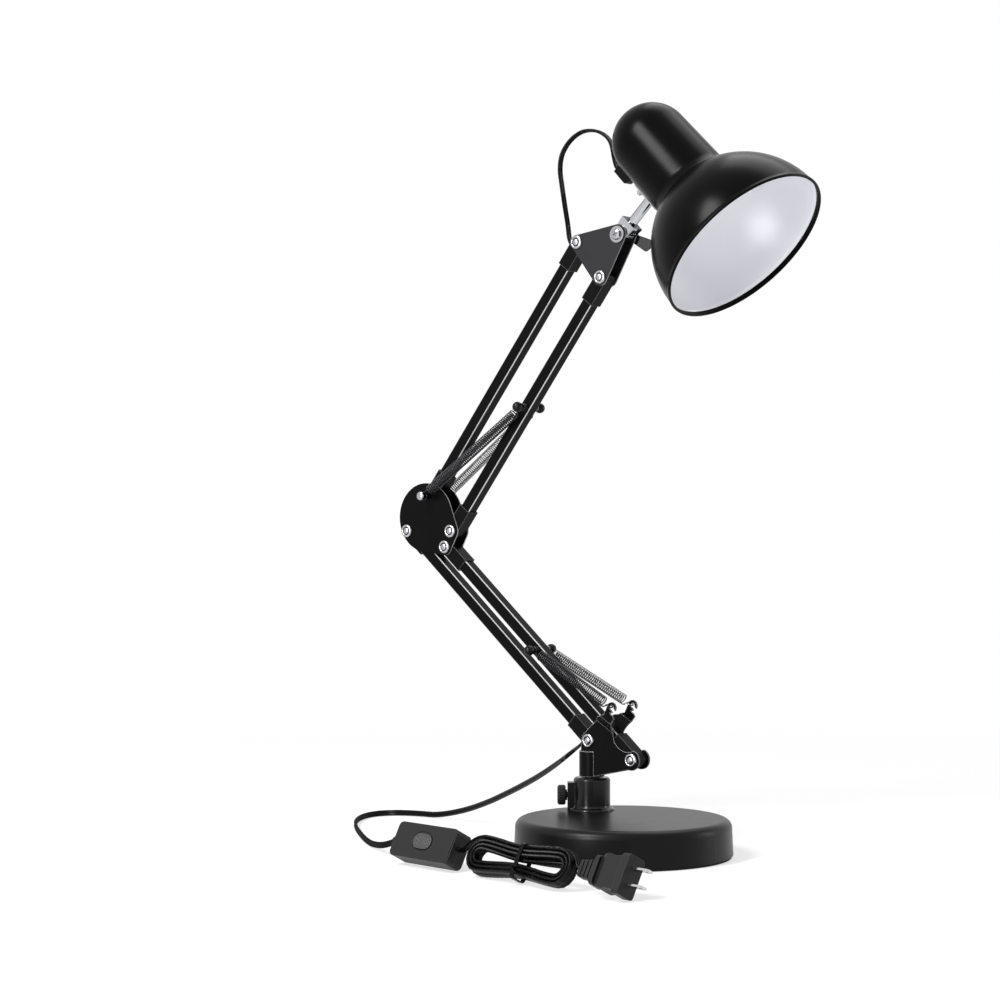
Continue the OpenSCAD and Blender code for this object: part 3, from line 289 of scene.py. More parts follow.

# %% [markdown]
# ## The loop at the head
# Between the upper bar and the shade the same cord stands up in a loop, stiff enough to hold its shape. It
# crosses three joints, so it is made in three pieces that meet end to end: a short foot between the upper bar
# and the head, a rise between the head and the knuckle, and a drop between the knuckle and the shade.

# %% Head loop
DOME_R, LEAD_BACK = 33.2, 141.0
lead_out = DOME_R + 4.2
head_mouth = beside_bar(head_a, UPPER_ANGLE, -SLOT_MID, MOUTH_H)
gland_mouth = rim_at - lead_out * ray(ROD_ANGLE) - (LEAD_BACK + 0.05) * ray(SHADE_ANGLE)
lead_points = [head_mouth, head_mouth + 3 * ray(UPPER_ANGLE + 90), Vector((-23.8, 517)), Vector((-25.2, 527)),
               Vector((-28.3, 543)), Vector((-31.3, 560)), Vector((-33.5, 575.5)), Vector((-31, 588.5)),
               Vector((-22.5, 599)), Vector((-10.5, 605)), Vector((2, 605)), Vector((13, 600.5)),
               Vector((20.3, 592.5)), gland_mouth + Vector((-4.2, 8.6)), gland_mouth - 3 * ray(SHADE_ANGLE), gland_mouth]
FOOT, APEX = 3, 9
Y_WAY = Vector((0, 1, 0))
for name, first, last, node, bodies in (("head_loop_foot", 0, FOOT, "lead_rise", ("upper_main", "head")),
                                        ("head_loop_rise", FOOT, APEX, "lead_rise", ("head", "knuckle")),
                                        ("head_loop_drop", APEX, len(lead_points) - 1, "lead_drop", ("knuckle", "shade"))):
    whole = smooth_path([p.to_3d() for p in lead_points], 6)
    part = [place(p[:2]) for p in whole[first * 6:last * 6 + 1]]
    lead = sweep(name, part, TWIN, Y_WAY)
    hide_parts(node)
    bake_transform(lead)
    print(name, round(length_of(part), 3), "m")

# %% [markdown]
# ## Cord inside the elbow and the bars
# A short bridge of cord crosses the elbow between the two main bars. It shows through the gap between the
# plates when the lamp is seen from behind or below.

# %% Elbow and inner cords
elbow_mouth_a = beside_bar(elb_a, LOWER_ANGLE, -SLOT_MID, -MOUTH_H)
elbow_mouth_b = beside_bar(upp_a, UPPER_ANGLE, SLOT_MID, -MOUTH_H)
elbow_points = [elbow_mouth_a, elbow_mouth_a + 3 * ray(LOWER_ANGLE - 90), elb_a + Vector((15.5, 7)),
                elb_a + Vector((22, 12)), elb_a + Vector((30, 15)), elb_a + Vector((38, 18)),
                elb_a + Vector((42, 24)), elbow_mouth_b + 3 * ray(UPPER_ANGLE - 90), elbow_mouth_b]
whole = smooth_path([p.to_3d() for p in elbow_points], 6)
for name, first, last, turn, node, bodies in (
        ("elbow_cord_low", 0, 4, (0, 4), "lead_elbow_low", ("lower_main", "elbow")),
        ("elbow_cord_high", 4, 8, (6, 8), "lead_elbow_high", ("elbow", "upper_main"))):
    part = [place(p[:2]) for p in whole[first * 6:last * 6 + 1]]
    bridge = sweep(name, part, TWIN, Y_WAY)
    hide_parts(node)
    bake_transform(bridge)

for name, pivot, angle, length, sides, body in (
        ("lower_bar_cord", low_a, LOWER_ANGLE, LOWER_ARM, (1, -1), "lower_main"),
        ("upper_bar_cord", upp_a, UPPER_ANGLE, UPPER_ARM, (-1, 1), "upper_main")):
    end = ((0, MOUTH_H), (0.1, 4.2), (0.9, 2.2), (2.8, 0.6), (5.4, 0))
    near = [beside_bar(pivot, angle, SLOT_MID + d, sides[0] * h) for d, h in end]
    far = [beside_bar(pivot, angle, length - SLOT_MID - d, sides[1] * h) for d, h in reversed(end)]
    inner = sweep(name, [place(p) for p in near + far], TWIN, Y_WAY)
    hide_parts("lead_in_lower_bar" if body == "lower_main" else "lead_in_upper_bar")
    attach(inner, body)
print("inner cords made")

# %% [markdown]
# ## Springs
# Four close-wound tension springs carry the arms' weight. Each is one wire: an eye round a pin, a few dozen
# turns that nearly touch, and another eye, or a hooked end through the bracket's ear. The wire is a curve
# with a round bevel, which is the light way to draw something so thin, and it is then made a mesh.

# %% Spring helper
SPRING_R, WIRE = 4.1, 1.15
KNOB_EYE, EAR_MID = 9.5, 15.0
PIN_EYE_R, LONG_EYE_R, HOOK_EYE_R = 2.95, 3.45, 3.0


def pin_eye(p, u, v, r):
    turn = [p + r * (-math.cos(math.radians(24 * k)) * u + math.sin(math.radians(24 * k)) * v) for k in range(-7, 5)]
    return turn + [p + u * (r + 1.4) + v * (r * 0.55), p + u * (r + 3.7) + v * SPRING_R * 0.9]


def hook_eye(p, u, v, w, r):
    turn = [p + r * (u + math.cos(math.radians(320 - 20 * k)) * u + math.sin(math.radians(320 - 20 * k)) * w)
            for k in range(15)]
    return turn + [p + u * (2 * r + 0.8) + v * 1.4 + w * 0.9, p + u * (2 * r + 2) + v * SPRING_R * 0.85]


def spring_line(a, b, eye_b, turns, hooked):
    u = (b - a).normalized()
    v = Vector((0, 1, 0)).cross(u).normalized()
    w = u.cross(v)
    room_b = 2 * eye_b + 3.6 if hooked else eye_b + 5.5
    begin, stop = PIN_EYE_R + 5.5, (b - a).length - room_b
    far = hook_eye(b, -u, v, w, eye_b) if hooked else pin_eye(b, -u, v, eye_b)
    steps = 16 * turns
    coil = []
    for i in range(steps + 1):
        t = i / steps
        g = math.radians(360 * turns * t)
        coil.append(a + u * (begin + (stop - begin) * t) + SPRING_R * (math.cos(g) * v + math.sin(g) * w))
    return pin_eye(a, u, v, PIN_EYE_R) + coil + far[::-1]


def wire_mesh(name, points, across):
    """A round wire along the points (millimetres from the post), as a mesh."""
    data = bpy.data.curves.new(name, "CURVE")
    data.dimensions = "3D"
    data.bevel_depth = across / 2 * MM
    data.bevel_resolution = 1
    data.use_fill_caps = True
    line = data.splines.new("POLY")
    line.points.add(len(points) - 1)
    for spot, p in zip(line.points, points):
        spot.co = (*((p + Vector((POST[0], POST[1], 0))) * MM), 1)
    drawn = bpy.data.objects.new(name + "_line", data)
    scene.collection.objects.link(drawn)
    bpy.context.view_layer.update()
    mesh = bpy.data.meshes.new_from_object(drawn.evaluated_get(bpy.context.evaluated_depsgraph_get()))
    bpy.data.objects.remove(drawn)
    mesh.name = name
    mesh.materials.clear()
    for face in mesh.polygons:
        face.use_smooth = True
    piece = bpy.data.objects.new(name, mesh)
    scene.collection.objects.link(piece)
    return piece


# %% Springs
LOWER_TURNS, UPPER_TURNS = 39, 56
springs = []
for word, side in (("front", -1), ("rear", 1)):
    knob = Vector((low_knob[0], side * KNOB_EYE, low_knob[1]))
    ear = Vector((hook_at[0], side * EAR_MID, hook_at[1]))
    coil = wire_mesh("lower_coil_" + word, spring_line(knob, ear, HOOK_EYE_R, LOWER_TURNS, True), WIRE)
    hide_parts("lower_spring_" + word)
    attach(coil, "lower_springs")
    springs.append(coil)
    knob = Vector((upp_knob[0], side * KNOB_EYE, upp_knob[1]))
    pin = Vector((upp_a[0], side * EAR_MID, upp_a[1]))
    coil = wire_mesh("upper_coil_" + word, spring_line(knob, pin, LONG_EYE_R, UPPER_TURNS, False), WIRE)
    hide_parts("upper_spring_" + word)
    near = place(upp_a)
    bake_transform(coil)
    springs.append(coil)
print("springs:", len(springs), "with", LOWER_TURNS, "and", UPPER_TURNS, "turns")

# %% [markdown]
# ## Rivets and the long pin
# The joints of the plates are closed by rivets whose heads are struck with a ringed tool, which leaves a round
# rim, a groove and a small dome. Turned parts like these are half outlines spun about their own axis. The
# groove and the rim's foot on the plate carry a mark that the finish reads later to darken them as painted shade.

# %% Turned helper
def add_turned(mesh, outline, turn, steps, close=False, marked=()):
    """Spin an outline of (radius, height) in mm about Z, put it in place, and mark the points with these numbers."""
    groove = mesh.verts.layers.float.get("groove") or mesh.verts.layers.float.new("groove")
    made = [mesh.verts.new(Vector((max(r, 0.0), 0, s)) * MM) for r, s in outline]
    for i in marked:
        made[i][groove] = 1.0
    edges = [mesh.edges.new(pair) for pair in zip(made, made[1:])]
    if close:
        edges.append(mesh.edges.new((made[-1], made[0])))
    before = set(mesh.verts) - set(made)
    bmesh.ops.spin(mesh, geom=made + edges, axis=(0, 0, 1), cent=(0, 0, 0), steps=steps,
                   angle=math.radians(360), use_merge=True)
    new = [v for v in mesh.verts if v not in before]
    bmesh.ops.remove_doubles(mesh, verts=new, dist=1e-6)
    new = [v for v in mesh.verts if v not in before]
    bmesh.ops.transform(mesh, matrix=turn, verts=new)


def finished(name, mesh):
    bmesh.ops.recalc_face_normals(mesh, faces=mesh.faces)
    for face in mesh.faces:
        face.smooth = True
    return make_object(name, mesh)


def along_y(flat, y, side):
    """A place in the arms' plane whose Z axis points to the front for side -1 and to the rear for 1."""
    return Matrix.Translation(place(flat, y)) @ Matrix.Rotation(math.radians(-90 * side), 4, "X")


# %% Rivets and long pin
PLATE_OUT, SHANK_R = 7.85, 2.45
HEAD = [(0, -0.5), (5.7, -0.5), (5.9, 0.3), (5.75, 0.95), (5.2, 1.55), (4.5, 1.85), (3.9, 1.8), (3.55, 1.4),
        (3.2, 0.9), (2.9, 1.4), (2.5, 1.85), (1.6, 2.25), (0, 2.4)]
# Painted shade goes on these outline points: the rim's foot on the plate and the groove.
HEAD_SHADED = (1, 7, 8, 9)
rivets = []
for name, spots, node, body in (("bracket_rivet_heads", (low_a, low_b), "bracket_rivets", "bracket"),
                                ("elbow_rivet_heads", (elb_a, elb_a + low_b - low_a, upp_b),
                                 "elbow_rivets", "elbow"),
                                ("head_rivet_heads", (head_a, head_a + upp_b - upp_a), "head_rivets", "head")):
    mesh = bmesh.new()
    for spot in spots:
        for side in (-1, 1):
            add_turned(mesh, HEAD, along_y(spot, side * PLATE_OUT, side), 32, marked=HEAD_SHADED)
        add_turned(mesh, [(0, -PLATE_OUT), (SHANK_R, -PLATE_OUT), (SHANK_R, PLATE_OUT), (0, PLATE_OUT)],
                   along_y(spot, 0, 1), 24)
    piece = finished(name, mesh)
    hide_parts(node)
    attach(piece, body)
    rivets.append(piece)

PIN_R, PIN_TIP, PIN_HEAD = 2.5, 20.0, 3.9
half_pin = [(PIN_R, 0), (PIN_R, PIN_TIP - 1.2), (PIN_HEAD - 0.2, PIN_TIP - 1.2), (PIN_HEAD, PIN_TIP - 0.6),
            (PIN_HEAD, PIN_TIP + 0.2), (PIN_HEAD - 0.8, PIN_TIP + 1), (1.2, PIN_TIP + 1.3), (0, PIN_TIP + 1.3)]
mesh = bmesh.new()
add_turned(mesh, [(r, -h) for r, h in reversed(half_pin[1:])] + half_pin[1:], along_y(upp_a, 0, 1), 32)
long_pin = finished("elbow_spring_pin", mesh)
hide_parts("elbow_long_pin")
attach(long_pin, "elbow")
rivets.append(long_pin)
print("rivets and pin:", sum(len(piece.data.polygons) for piece in rivets), "faces")

# %% [markdown]
# ## Shade
# The shade is one sheet of steel, spun on a lathe: a bell that runs back into a short cylinder with a round
# end, and a rim rolled outwards over a wire. A half section turned about the axis gives exactly that shape.
# The outside is black and the inside white, so the sheet is made as two thin skins back to back.

# %% Shade section and spin
RIM_R, BELL_DEPTH, DOME_BACK, HOUSING_TAPER = 75.0, 77.5, 130.5, 0.02
SHADE_WALL, ENAMEL_T = 1.0, 0.4
NECK_BACK = BELL_DEPTH * math.sqrt(1 - ((DOME_R + 1.2) / RIM_R) ** 2)
shade_turn = Matrix.Translation(place(rim_at)) @ Matrix.Rotation(math.radians(-90 - SHADE_ANGLE), 4, "Y")


def shade_section(inset):
    """Half of the shade's section as (radius, distance behind the rim) in mm, inset from its outside."""
    def bell(s):
        r = RIM_R * math.sqrt(1 - (s / BELL_DEPTH) ** 2)
        n = Vector((r / RIM_R ** 2, s / BELL_DEPTH ** 2)).normalized()
        return Vector((r, s)) - n * inset
    points = [bell(NECK_BACK * 0.985 * math.sin(math.radians(90 * k / 30))) for k in range(31)]
    top = DOME_R + HOUSING_TAPER * (DOME_BACK - NECK_BACK - 9) - inset
    cap = [Vector(((DOME_R - inset) * math.cos(math.radians(a)), DOME_BACK + (DOME_R - inset) * math.sin(math.radians(a))))
           for a in range(0, 91, 5)]
    neck = smooth_path([points[-2].to_3d(), points[-1].to_3d(), Vector((top + 0.15, NECK_BACK + 5, 0)),
                        Vector((top, NECK_BACK + 9, 0))], 3)[3:]
    return points[:-1] + [p.to_2d() for p in neck] + cap


def turned(name, outline, close, steps=128):
    """The outline (radius, distance) in mm, spun about the shade's axis."""
    mesh = bmesh.new()
    add_turned(mesh, outline, shade_turn, steps, close)
    return finished(name, mesh)


outside, inside = shade_section(0), shade_section(SHADE_WALL)
lip = [(RIM_R - 0.6 + 1.25 * math.cos(math.radians(a)), 0.3 + 1.25 * math.sin(math.radians(a)))
       for a in range(-170, 61, 23)]
shell = turned("shade_spun_shell", list(reversed(inside)) + lip + outside[1:], False)
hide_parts("shade_shell")
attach(shell, "shade")
GLAZE_FROM, GLAZE_TO = 1.7, 80.0


def between(points, low, high):
    return [p for p in points if low <= p[1] <= high]


glaze_out = between(shade_section(SHADE_WALL + 0.03), GLAZE_FROM, GLAZE_TO)
glaze_in = between(shade_section(SHADE_WALL + ENAMEL_T), GLAZE_FROM, GLAZE_TO)
glaze = turned("shade_white_inside", glaze_out + glaze_in[::-1], True)
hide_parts("shade_enamel")
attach(glaze, "shade")
print("shade:", len(shell.data.polygons) + len(glaze.data.polygons), "faces")

# %% [markdown]
# ## Finishes
# Every finish is a small node tree: a noise that changes the gloss from place to place, and a finer one
# that gives the surface its grain as a bump. Object coordinates are used, so the grain has its real size on
# every piece and stays put when the lamp moves.

# %% Finish helper
def finish_of(name, colour, rough, metal=0.0, swing=0.05, patch=60.0, grain=900.0, bump=0.05, depth=0.0002,
              coat=0.0, coat_rough=0.1, specular=0.5, mottle=0.0, edge_highlight=0.0, edge=0.8, rim_tint=1.0):
    """A finish: base colour, roughness that swings by patches, a grain of a size per metre, and painted highlights on
    the edges.
    """
    finish = bpy.data.materials.new(name)
    finish.use_nodes = True
    tree = finish.node_tree
    shader = tree.nodes["Principled BSDF"]
    shader.inputs["Base Color"].default_value = (*colour, 1)
    shader.inputs["Metallic"].default_value = metal
    shader.inputs["Specular IOR Level"].default_value = specular
    shader.inputs["Coat Weight"].default_value = coat
    shader.inputs["Coat Roughness"].default_value = coat_rough
    shader.inputs["Specular Tint"].default_value = (rim_tint, rim_tint, rim_tint, 1)
    where = tree.nodes.new("ShaderNodeTexCoord")
    patches = tree.nodes.new("ShaderNodeTexNoise")
    patches.inputs["Scale"].default_value = patch
    patches.inputs["Detail"].default_value = 4
    tree.links.new(where.outputs["Object"], patches.inputs["Vector"])
    gloss = tree.nodes.new("ShaderNodeMapRange")
    gloss.inputs["From Min"].default_value = 0.3
    gloss.inputs["From Max"].default_value = 0.7
    gloss.inputs["To Min"].default_value = max(rough - swing, 0.02)
    gloss.inputs["To Max"].default_value = rough + swing
    tree.links.new(patches.outputs["Fac"], gloss.inputs["Value"])
    tree.links.new(gloss.outputs["Result"], shader.inputs["Roughness"])
    if mottle:
        tone = tree.nodes.new("ShaderNodeMix")
        tone.data_type = "RGBA"
        tone.inputs["A"].default_value = (*[c * (1 - mottle) for c in colour], 1)
        tone.inputs["B"].default_value = (*[min(c * (1 + mottle), 1) for c in colour], 1)
        tree.links.new(patches.outputs["Fac"], tone.inputs["Factor"])
        tree.links.new(tone.outputs["Result"], shader.inputs["Base Color"])
    fine = tree.nodes.new("ShaderNodeTexNoise")
    fine.inputs["Scale"].default_value = grain
    fine.inputs["Detail"].default_value = 3
    tree.links.new(where.outputs["Object"], fine.inputs["Vector"])
    lift = tree.nodes.new("ShaderNodeBump")
    lift.inputs["Strength"].default_value = bump
    lift.inputs["Distance"].default_value = depth
    tree.links.new(fine.outputs["Fac"], lift.inputs["Height"])
    tree.links.new(lift.outputs["Normal"], shader.inputs["Normal"])
    # A lighter edge tone is a painted highlight along the piece's edges.
    if edge_highlight:
        paint_edge_highlights(tree, shader, lift, edge_highlight, edge)
    return finish


def tone_where(tree, mask, tone):
    """Carry the base colour over to a grey tone where the mask is 1."""
    shader = tree.nodes["Principled BSDF"]
    paint = tree.nodes.new("ShaderNodeMix")
    paint.data_type = "RGBA"
    paint.inputs["A"].default_value = shader.inputs["Base Color"].default_value
    paint.inputs["B"].default_value = (tone, tone, tone, 1)
    for link in list(shader.inputs["Base Color"].links):
        tree.links.new(link.from_socket, paint.inputs["A"])
    tree.links.new(mask, paint.inputs["Factor"])
    tree.links.new(paint.outputs["Result"], shader.inputs["Base Color"])


def ramp(tree, value, low, high, from_tone=0.0):
    """A number that climbs from from_tone to 1 while value goes from low to high."""
    climb = tree.nodes.new("ShaderNodeMapRange")
    climb.inputs["From Min"].default_value = low
    climb.inputs["From Max"].default_value = high
    climb.inputs["To Min"].default_value = from_tone
    tree.links.new(value, climb.inputs["Value"])
    return climb.outputs["Result"]


def sum_of(tree, operation, *values):
    node = tree.nodes.new("ShaderNodeMath")
    node.operation = operation
    for socket, value in zip(node.inputs, values):
        tree.links.new(value, socket)
    return node.outputs["Value"]


def paint_edge_highlights(tree, shader, lift, edge_highlight, edge):
    """Round the shading normal off a sheet's edges, and paint a lighter tone there as a painted highlight."""
    soft = tree.nodes.new("ShaderNodeBevel")
    soft.samples = 6
    soft.inputs["Radius"].default_value = edge * MM
    tree.links.new(soft.outputs["Normal"], lift.inputs["Normal"])
    hard = tree.nodes.new("ShaderNodeNewGeometry")
    agree = tree.nodes.new("ShaderNodeVectorMath")
    agree.operation = "DOT_PRODUCT"
    tree.links.new(soft.outputs["Normal"], agree.inputs[0])
    tree.links.new(hard.outputs["True Normal"], agree.inputs[1])
    tone_where(tree, ramp(tree, agree.outputs["Value"], 0.99, 0.86), edge_highlight)


# %% [markdown]
# ### Painted highlights and shade on black paint
# Thin bright lines tell the eye where black sheet and tube end. Here they are painted highlights in the base colour:
# the square bars get them along their rolled corners and the flat plates along their cut faces, while the
# rivets get painted shade in their grooves. All three are found from the piece itself: from its own
# coordinates turned to the bar, from the way a face points, and from the mark on the groove's points.
# A search for sharp edges could find them too, but it is slow and grainy.

# %% Line helpers
def corner_highlights(finish, pivot, angle, tone):
    """A painted highlight along a bar's four corners, strong on the two that face the front right and the rear left.
    """
    tree = finish.node_tree
    spot = tree.nodes.new("ShaderNodeTexCoord")
    local = tree.nodes.new("ShaderNodeMapping")
    local.vector_type = "TEXTURE"
    local.inputs["Location"].default_value = place(pivot)
    local.inputs["Rotation"].default_value = (0, -math.radians(angle), 0)
    tree.links.new(spot.outputs["Object"], local.inputs["Vector"])
    split = tree.nodes.new("ShaderNodeSeparateXYZ")
    tree.links.new(local.outputs["Vector"], split.inputs["Vector"])
    y, h = split.outputs["Y"], split.outputs["Z"]
    near = [ramp(tree, sum_of(tree, "ABSOLUTE", way), CORNER_FROM * MM, CORNER_TO * MM) for way in (y, h)]
    faint = ramp(tree, sum_of(tree, "MULTIPLY", y, h), -1e-6, 1e-6, 0.25)
    tone_where(tree, sum_of(tree, "MULTIPLY", sum_of(tree, "MULTIPLY", *near), faint), tone)
    return finish


def cut_face_highlights(finish, tone):
    """A painted highlight: a lighter tone on the faces of a flat plate that don't look to the front or the rear."""
    tree = finish.node_tree
    spot = tree.nodes.new("ShaderNodeTexCoord")
    split = tree.nodes.new("ShaderNodeSeparateXYZ")
    tree.links.new(spot.outputs["Normal"], split.inputs["Vector"])
    tone_where(tree, ramp(tree, sum_of(tree, "ABSOLUTE", split.outputs["Y"]), 0.6, 0.3), tone)
    return finish


# Painted shade: the base colour darkens on the marked points, the rivets' grooves and the foot of their rim.
def paint_groove_shade(finish, tone):
    mark = finish.node_tree.nodes.new("ShaderNodeAttribute")
    mark.attribute_name = "groove"
    tone_where(finish.node_tree, ramp(finish.node_tree, mark.outputs["Fac"], 0.15, 0.75), tone)
    return finish


CORNER_FROM, CORNER_TO = 4.3, 4.75
print("bright lines start", CORNER_FROM, "mm from a bar's middle")

# %% [markdown]
# The lamp is nearly all black, so the finishes differ in gloss and not in colour: smooth stove paint on the
# sheet metal, a glossier coat on the collar and the shade, dull moulded sleeves, and bright zinc and chrome.

# %% Finishes
JET = (0.002, 0.002, 0.0022)
# The edge tone given to some finishes below is a painted highlight along their edges.
BLACK_PAINT = finish_of("black_paint", JET, 0.3, swing=0.03, bump=0.04, mottle=0.15, specular=0.05, edge_highlight=0.35)
PLATE_PAINT = cut_face_highlights(finish_of("plate_paint", JET, 0.3, swing=0.03, bump=0.04, mottle=0.15, specular=0.05), 0.35)
BAR_PAINTS = {
    name: corner_highlights(finish_of(name + "_paint", JET, 0.28, swing=0.03, bump=0.04, mottle=0.15, specular=0.05),
                       pivot, angle, 0.4)
    for name, pivot, angle in (("lower_bar", low_a, LOWER_ANGLE), ("lower_link", low_b, LOWER_ANGLE),
                               ("upper_bar", upp_a, UPPER_ANGLE), ("upper_link", upp_b, UPPER_ANGLE))}
SHADE_PAINT = finish_of("shade_paint", (0.0008, 0.0008, 0.0008), 0.26, swing=0.015, bump=0.015, mottle=0.1,
                        specular=0.055)
BASE_PAINT = finish_of("base_paint", (0.002, 0.002, 0.0025), 0.34, swing=0.008, bump=0.04, grain=1400, mottle=0.05,
                       specular=0.14)
HEAD_PAINT = cut_face_highlights(finish_of("head_paint", (0.008, 0.008, 0.0095), 0.45, swing=0.03, bump=0.06, mottle=0.1,
                                 specular=0.2), 0.25)
COLLAR_BLACK = finish_of("collar_black", (0.0025, 0.0025, 0.003), 0.22, swing=0.02, bump=0.03, specular=0.24,
                         edge_highlight=0.03)
SLEEVE_BLACK = finish_of("sleeve_black", (0.002, 0.002, 0.002), 0.35, swing=0.04, bump=0.08, grain=2200,
                         specular=0.06, edge_highlight=0.1, edge=1.2)
KNOB_BLACK = finish_of("knob_black", (0.003, 0.003, 0.003), 0.25, swing=0.05, bump=0.06, grain=1800,
                       specular=0.15, edge_highlight=0.05)
# The zinc is darkened on the rivets' grooves and at the foot of their rim as painted shade.
ZINC = paint_groove_shade(finish_of("zinc", (0.45, 0.45, 0.47), 0.2, metal=1.0, swing=0.03, patch=80, bump=0.01,
                              mottle=0.03, rim_tint=0.1), 0.05)
CHROME = finish_of("chrome", (0.5, 0.51, 0.53), 0.08, metal=1.0, swing=0.02, patch=200, bump=0.01, rim_tint=0.0)
SPRING_STEEL = finish_of("spring_steel", (0.04, 0.04, 0.043), 0.2, metal=0.9, swing=0.06, patch=400, bump=0.02,
                         specular=0.3)
# The rear springs wear a lighter copy of the same steel: painted light, for the light they catch.
SPRING_LIT_COPY = finish_of("spring_painted_lit", (0.2, 0.2, 0.205), 0.2, metal=0.95, swing=0.06, patch=400, bump=0.02,
                          specular=0.3)
ENAMEL = finish_of("white_enamel", (0.86, 0.86, 0.91), 0.25, swing=0.015, patch=15, bump=0.002, mottle=0.004,
                   coat=0.5)
HOLDER_BLACK = finish_of("holder_black", (0.012, 0.012, 0.012), 0.4, swing=0.04, bump=0.1, specular=0.3)
BRASS = finish_of("brass", (0.75, 0.58, 0.27), 0.25, metal=1.0, swing=0.06, patch=300, bump=0.04, mottle=0.08)
STEEL = finish_of("bare_steel", (0.55, 0.55, 0.57), 0.32, metal=1.0, swing=0.08, patch=250, bump=0.06, mottle=0.06)
IRON = finish_of("cast_iron", (0.09, 0.09, 0.095), 0.7, metal=0.6, swing=0.08, grain=500, bump=0.4, mottle=0.2)
FOAM = finish_of("foam_pad", (0.012, 0.012, 0.012), 0.9, swing=0.04, grain=1500, bump=0.5, mottle=0.2, specular=0.2)
VINYL = finish_of("cord_vinyl", (0.002, 0.002, 0.002), 0.26, swing=0.04, patch=120, bump=0.01, mottle=0.15,
                  specular=0.09)
CASE_BLACK = finish_of("switch_black", (0.009, 0.009, 0.0095), 0.42, swing=0.03, bump=0.08, grain=2600,
                       specular=0.18, edge_highlight=0.03)
ROCKER_GREY = finish_of("rocker_black", (0.035, 0.035, 0.036), 0.3, swing=0.03, bump=0.05, grain=2600,
                        specular=0.35, edge_highlight=0.06)
NICKEL = finish_of("plug_nickel", (0.6, 0.6, 0.61), 0.15, metal=1.0, swing=0.05, patch=300, bump=0.02)

worn_by = {
    "base_cover": BASE_PAINT, "base_ballast": IRON, "base_plate": STEEL, "base_pad": FOAM, "collar": COLLAR_BLACK,
    "collar_nut": STEEL, "thumb_screw": KNOB_BLACK, "bracket_hub": COLLAR_BLACK, "bracket_plate_front": BLACK_PAINT,
    "bracket_plate_rear": BLACK_PAINT, **BAR_PAINTS, "lower_bar_sleeves": SLEEVE_BLACK,
    "lower_link_sleeves": SLEEVE_BLACK, "upper_bar_sleeves": SLEEVE_BLACK, "upper_link_sleeves": SLEEVE_BLACK,
    "lower_spring_pin": KNOB_BLACK, "upper_spring_pin": KNOB_BLACK, "elbow_plate_front": PLATE_PAINT,
    "elbow_plate_rear": PLATE_PAINT, "head_plate_front": HEAD_PAINT,
    "head_plate_rear": HEAD_PAINT, "head_bolt": ZINC, "head_wing_nut": KNOB_BLACK,
    "knuckle": CHROME, "head_rod": CHROME, "rod_saddle": CHROME, "holder_strap": STEEL, "holder_body": HOLDER_BLACK,
    "holder_shell": BRASS, "holder_contact": BRASS, "lead_gland": VINYL, "hank_tie": VINYL, "switch_front": CASE_BLACK,
    "switch_back": CASE_BLACK, "switch_rocker": ROCKER_GREY, "plug_body": CASE_BLACK, "plug_blades": NICKEL}


def wear(piece, finish):
    piece.data.materials.clear()
    piece.data.materials.append(finish)


for node, finish in worn_by.items():
    wear(nodes[node], finish)
# The front springs take the plain steel and the rear ones the lighter copy, as painted light.
for piece in springs:
    wear(piece, SPRING_LIT_COPY if piece.name.endswith("rear") else SPRING_STEEL)
for piece in rivets:
    wear(piece, ZINC)
wear(shell, SHADE_PAINT)
wear(glaze, ENAMEL)
for name in ("cord_to_switch", "cord_hank_loops", "head_loop_foot", "head_loop_rise", "head_loop_drop", "elbow_cord_low",
             "elbow_cord_high", "lower_bar_cord", "upper_bar_cord"):
    wear(bpy.data.objects[name], VINYL)
print("finishes:", len(worn_by), "nodes painted")

# %% [markdown]
# ## Floor and light
# The lamp stands on a plain pale floor. Black gloss is drawn by what it mirrors, so the light comes from
# soft panels: a tall one up at the front for the long highlight on the housing, a narrow low one for the collar
# and the foot, and two behind the lamp. A spot with a very narrow beam lights a patch on the white inside.

# %% Floor
FLOOR_HALF = 40.0
PLAIN_FROM, PLAIN_TO = 0.35, 1.3
floor_mesh = bmesh.new()
bmesh.ops.create_grid(floor_mesh, x_segments=1, y_segments=1, size=FLOOR_HALF)
bmesh.ops.translate(floor_mesh, verts=floor_mesh.verts, vec=(0, 0, -0.0003))
floor = make_object("floor", floor_mesh)
paper = finish_of("floor_paper", (0.96, 0.96, 0.96), 0.8, swing=0.03, bump=0.0, specular=0.1)
paper_tree = paper.node_tree
PAPER_GLOW = 0.6
spot = paper_tree.nodes.new("ShaderNodeTexCoord")
far = paper_tree.nodes.new("ShaderNodeVectorMath")
far.operation = "LENGTH"
paper_tree.links.new(spot.outputs["Object"], far.inputs[0])
fade = paper_tree.nodes.new("ShaderNodeMapRange")
fade.interpolation_type = "SMOOTHSTEP"
fade.inputs["From Min"].default_value = PLAIN_FROM
fade.inputs["From Max"].default_value = PLAIN_TO
fade.inputs["To Min"].default_value = PAPER_GLOW
paper_tree.links.new(far.outputs["Value"], fade.inputs["Value"])
plain = paper_tree.nodes.new("ShaderNodeEmission")
plain.inputs["Color"].default_value = (1, 1, 1, 1)
blended = paper_tree.nodes.new("ShaderNodeMixShader")
paper_tree.links.new(fade.outputs["Result"], blended.inputs["Fac"])
paper_tree.links.new(paper_tree.nodes["Principled BSDF"].outputs["BSDF"], blended.inputs[1])
paper_tree.links.new(plain.outputs["Emission"], blended.inputs[2])
paper_tree.links.new(blended.outputs["Shader"], paper_tree.nodes["Material Output"].inputs["Surface"])
wear(floor, paper)

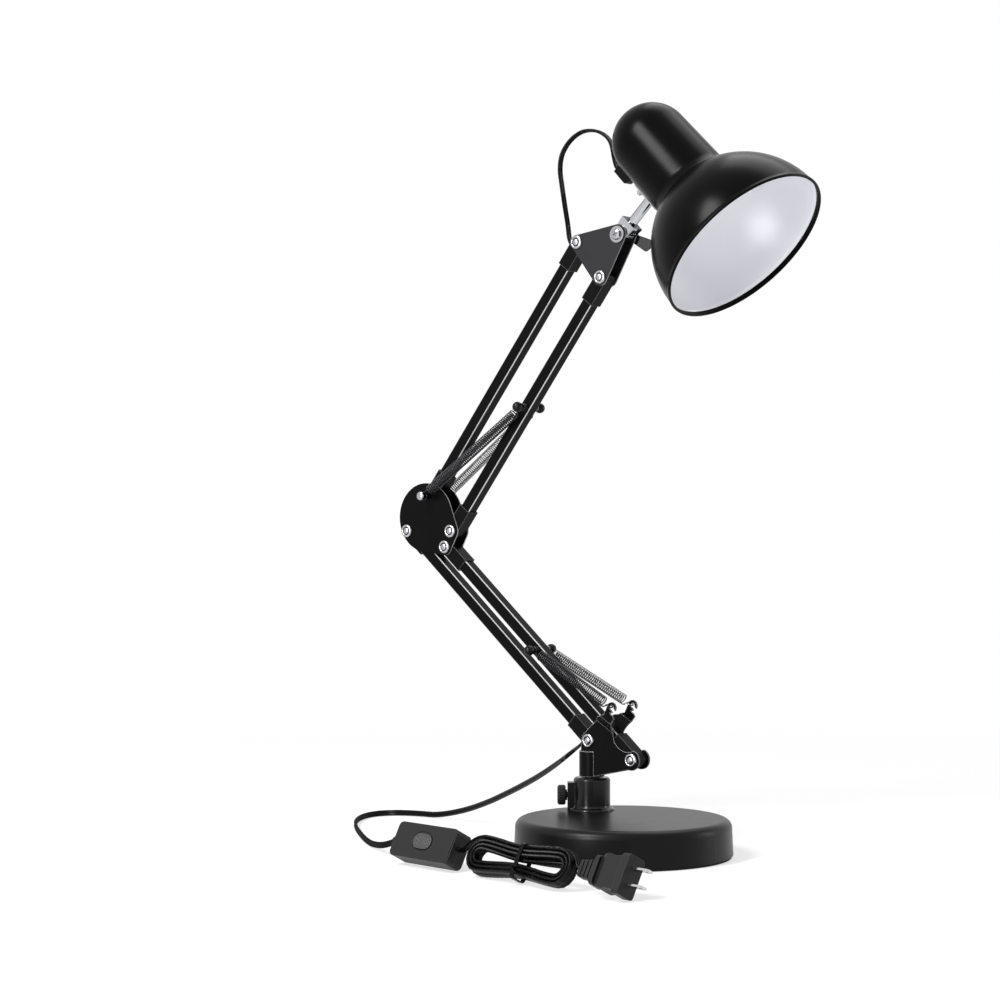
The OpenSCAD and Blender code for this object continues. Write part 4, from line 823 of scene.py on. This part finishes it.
# %% World
world = bpy.data.worlds.new("studio")
scene.world = world
world.use_nodes = True
sky = world.node_tree
seen = sky.nodes.new("ShaderNodeLightPath")
either = sky.nodes.new("ShaderNodeMath")
either.operation = "MAXIMUM"
both = sky.nodes.new("ShaderNodeMath")
both.operation = "MAXIMUM"
sky.links.new(seen.outputs["Is Camera Ray"], either.inputs[0])
sky.links.new(seen.outputs["Is Glossy Ray"], either.inputs[1])
sky.links.new(either.outputs["Value"], both.inputs[0])
sky.links.new(seen.outputs["Is Transmission Ray"], both.inputs[1])
level = sky.nodes.new("ShaderNodeMapRange")
level.inputs["To Min"].default_value = 0.35
level.inputs["To Max"].default_value = 1.0
sky.links.new(both.outputs["Value"], level.inputs["Value"])
sky.links.new(level.outputs["Result"], sky.nodes["Background"].inputs["Strength"])
sky.nodes["Background"].inputs["Color"].default_value = (1, 1, 1, 1)


# %% Lamps
def panel(name, at, target, width, height, power):
    data = bpy.data.lights.new(name, "AREA")
    data.shape = "RECTANGLE"
    data.size, data.size_y, data.energy = width, height, power
    lamp = bpy.data.objects.new(name, data)
    scene.collection.objects.link(lamp)
    lamp.location = at
    lamp.rotation_euler = (Vector(target) - Vector(at)).to_track_quat("-Z", "Y").to_euler()
    return lamp


SHADE_AT, POST_AT = (0.05, 0.03, 0.56), (-0.05, 0.03, 0.06)
panel("panel_front", (-0.36, -1.45, 1.58), SHADE_AT, 0.5, 0.8, 42)
panel("panel_low", (-0.08, -1.7, 0.42), POST_AT, 0.24, 0.8, 22)
panel("panel_rear_right", (1.25, 1.3, 0.45), POST_AT, 0.3, 0.9, 5)
panel("panel_rear", (-0.1, 0.85, 2.05), SHADE_AT, 1.3, 1.1, 13)

# %% Spot in the shade
INSIDE_AT = Vector((0.078, 0.093, 0.519))
beam = bpy.data.lights.new("beam_inside", "SPOT")
beam.energy, beam.spot_size, beam.spot_blend, beam.shadow_soft_size = 34, math.radians(1.25), 1.0, 0.01
beam_lamp = bpy.data.objects.new("beam_inside", beam)
beam_lamp.visible_glossy = False
scene.collection.objects.link(beam_lamp)
beam_lamp.location = (0.9, -1.35, 0.33)
beam_lamp.rotation_euler = (INSIDE_AT - beam_lamp.location).to_track_quat("-Z", "Y").to_euler()
scene.view_settings.view_transform = "Standard"
print("light: four panels and a pale world")
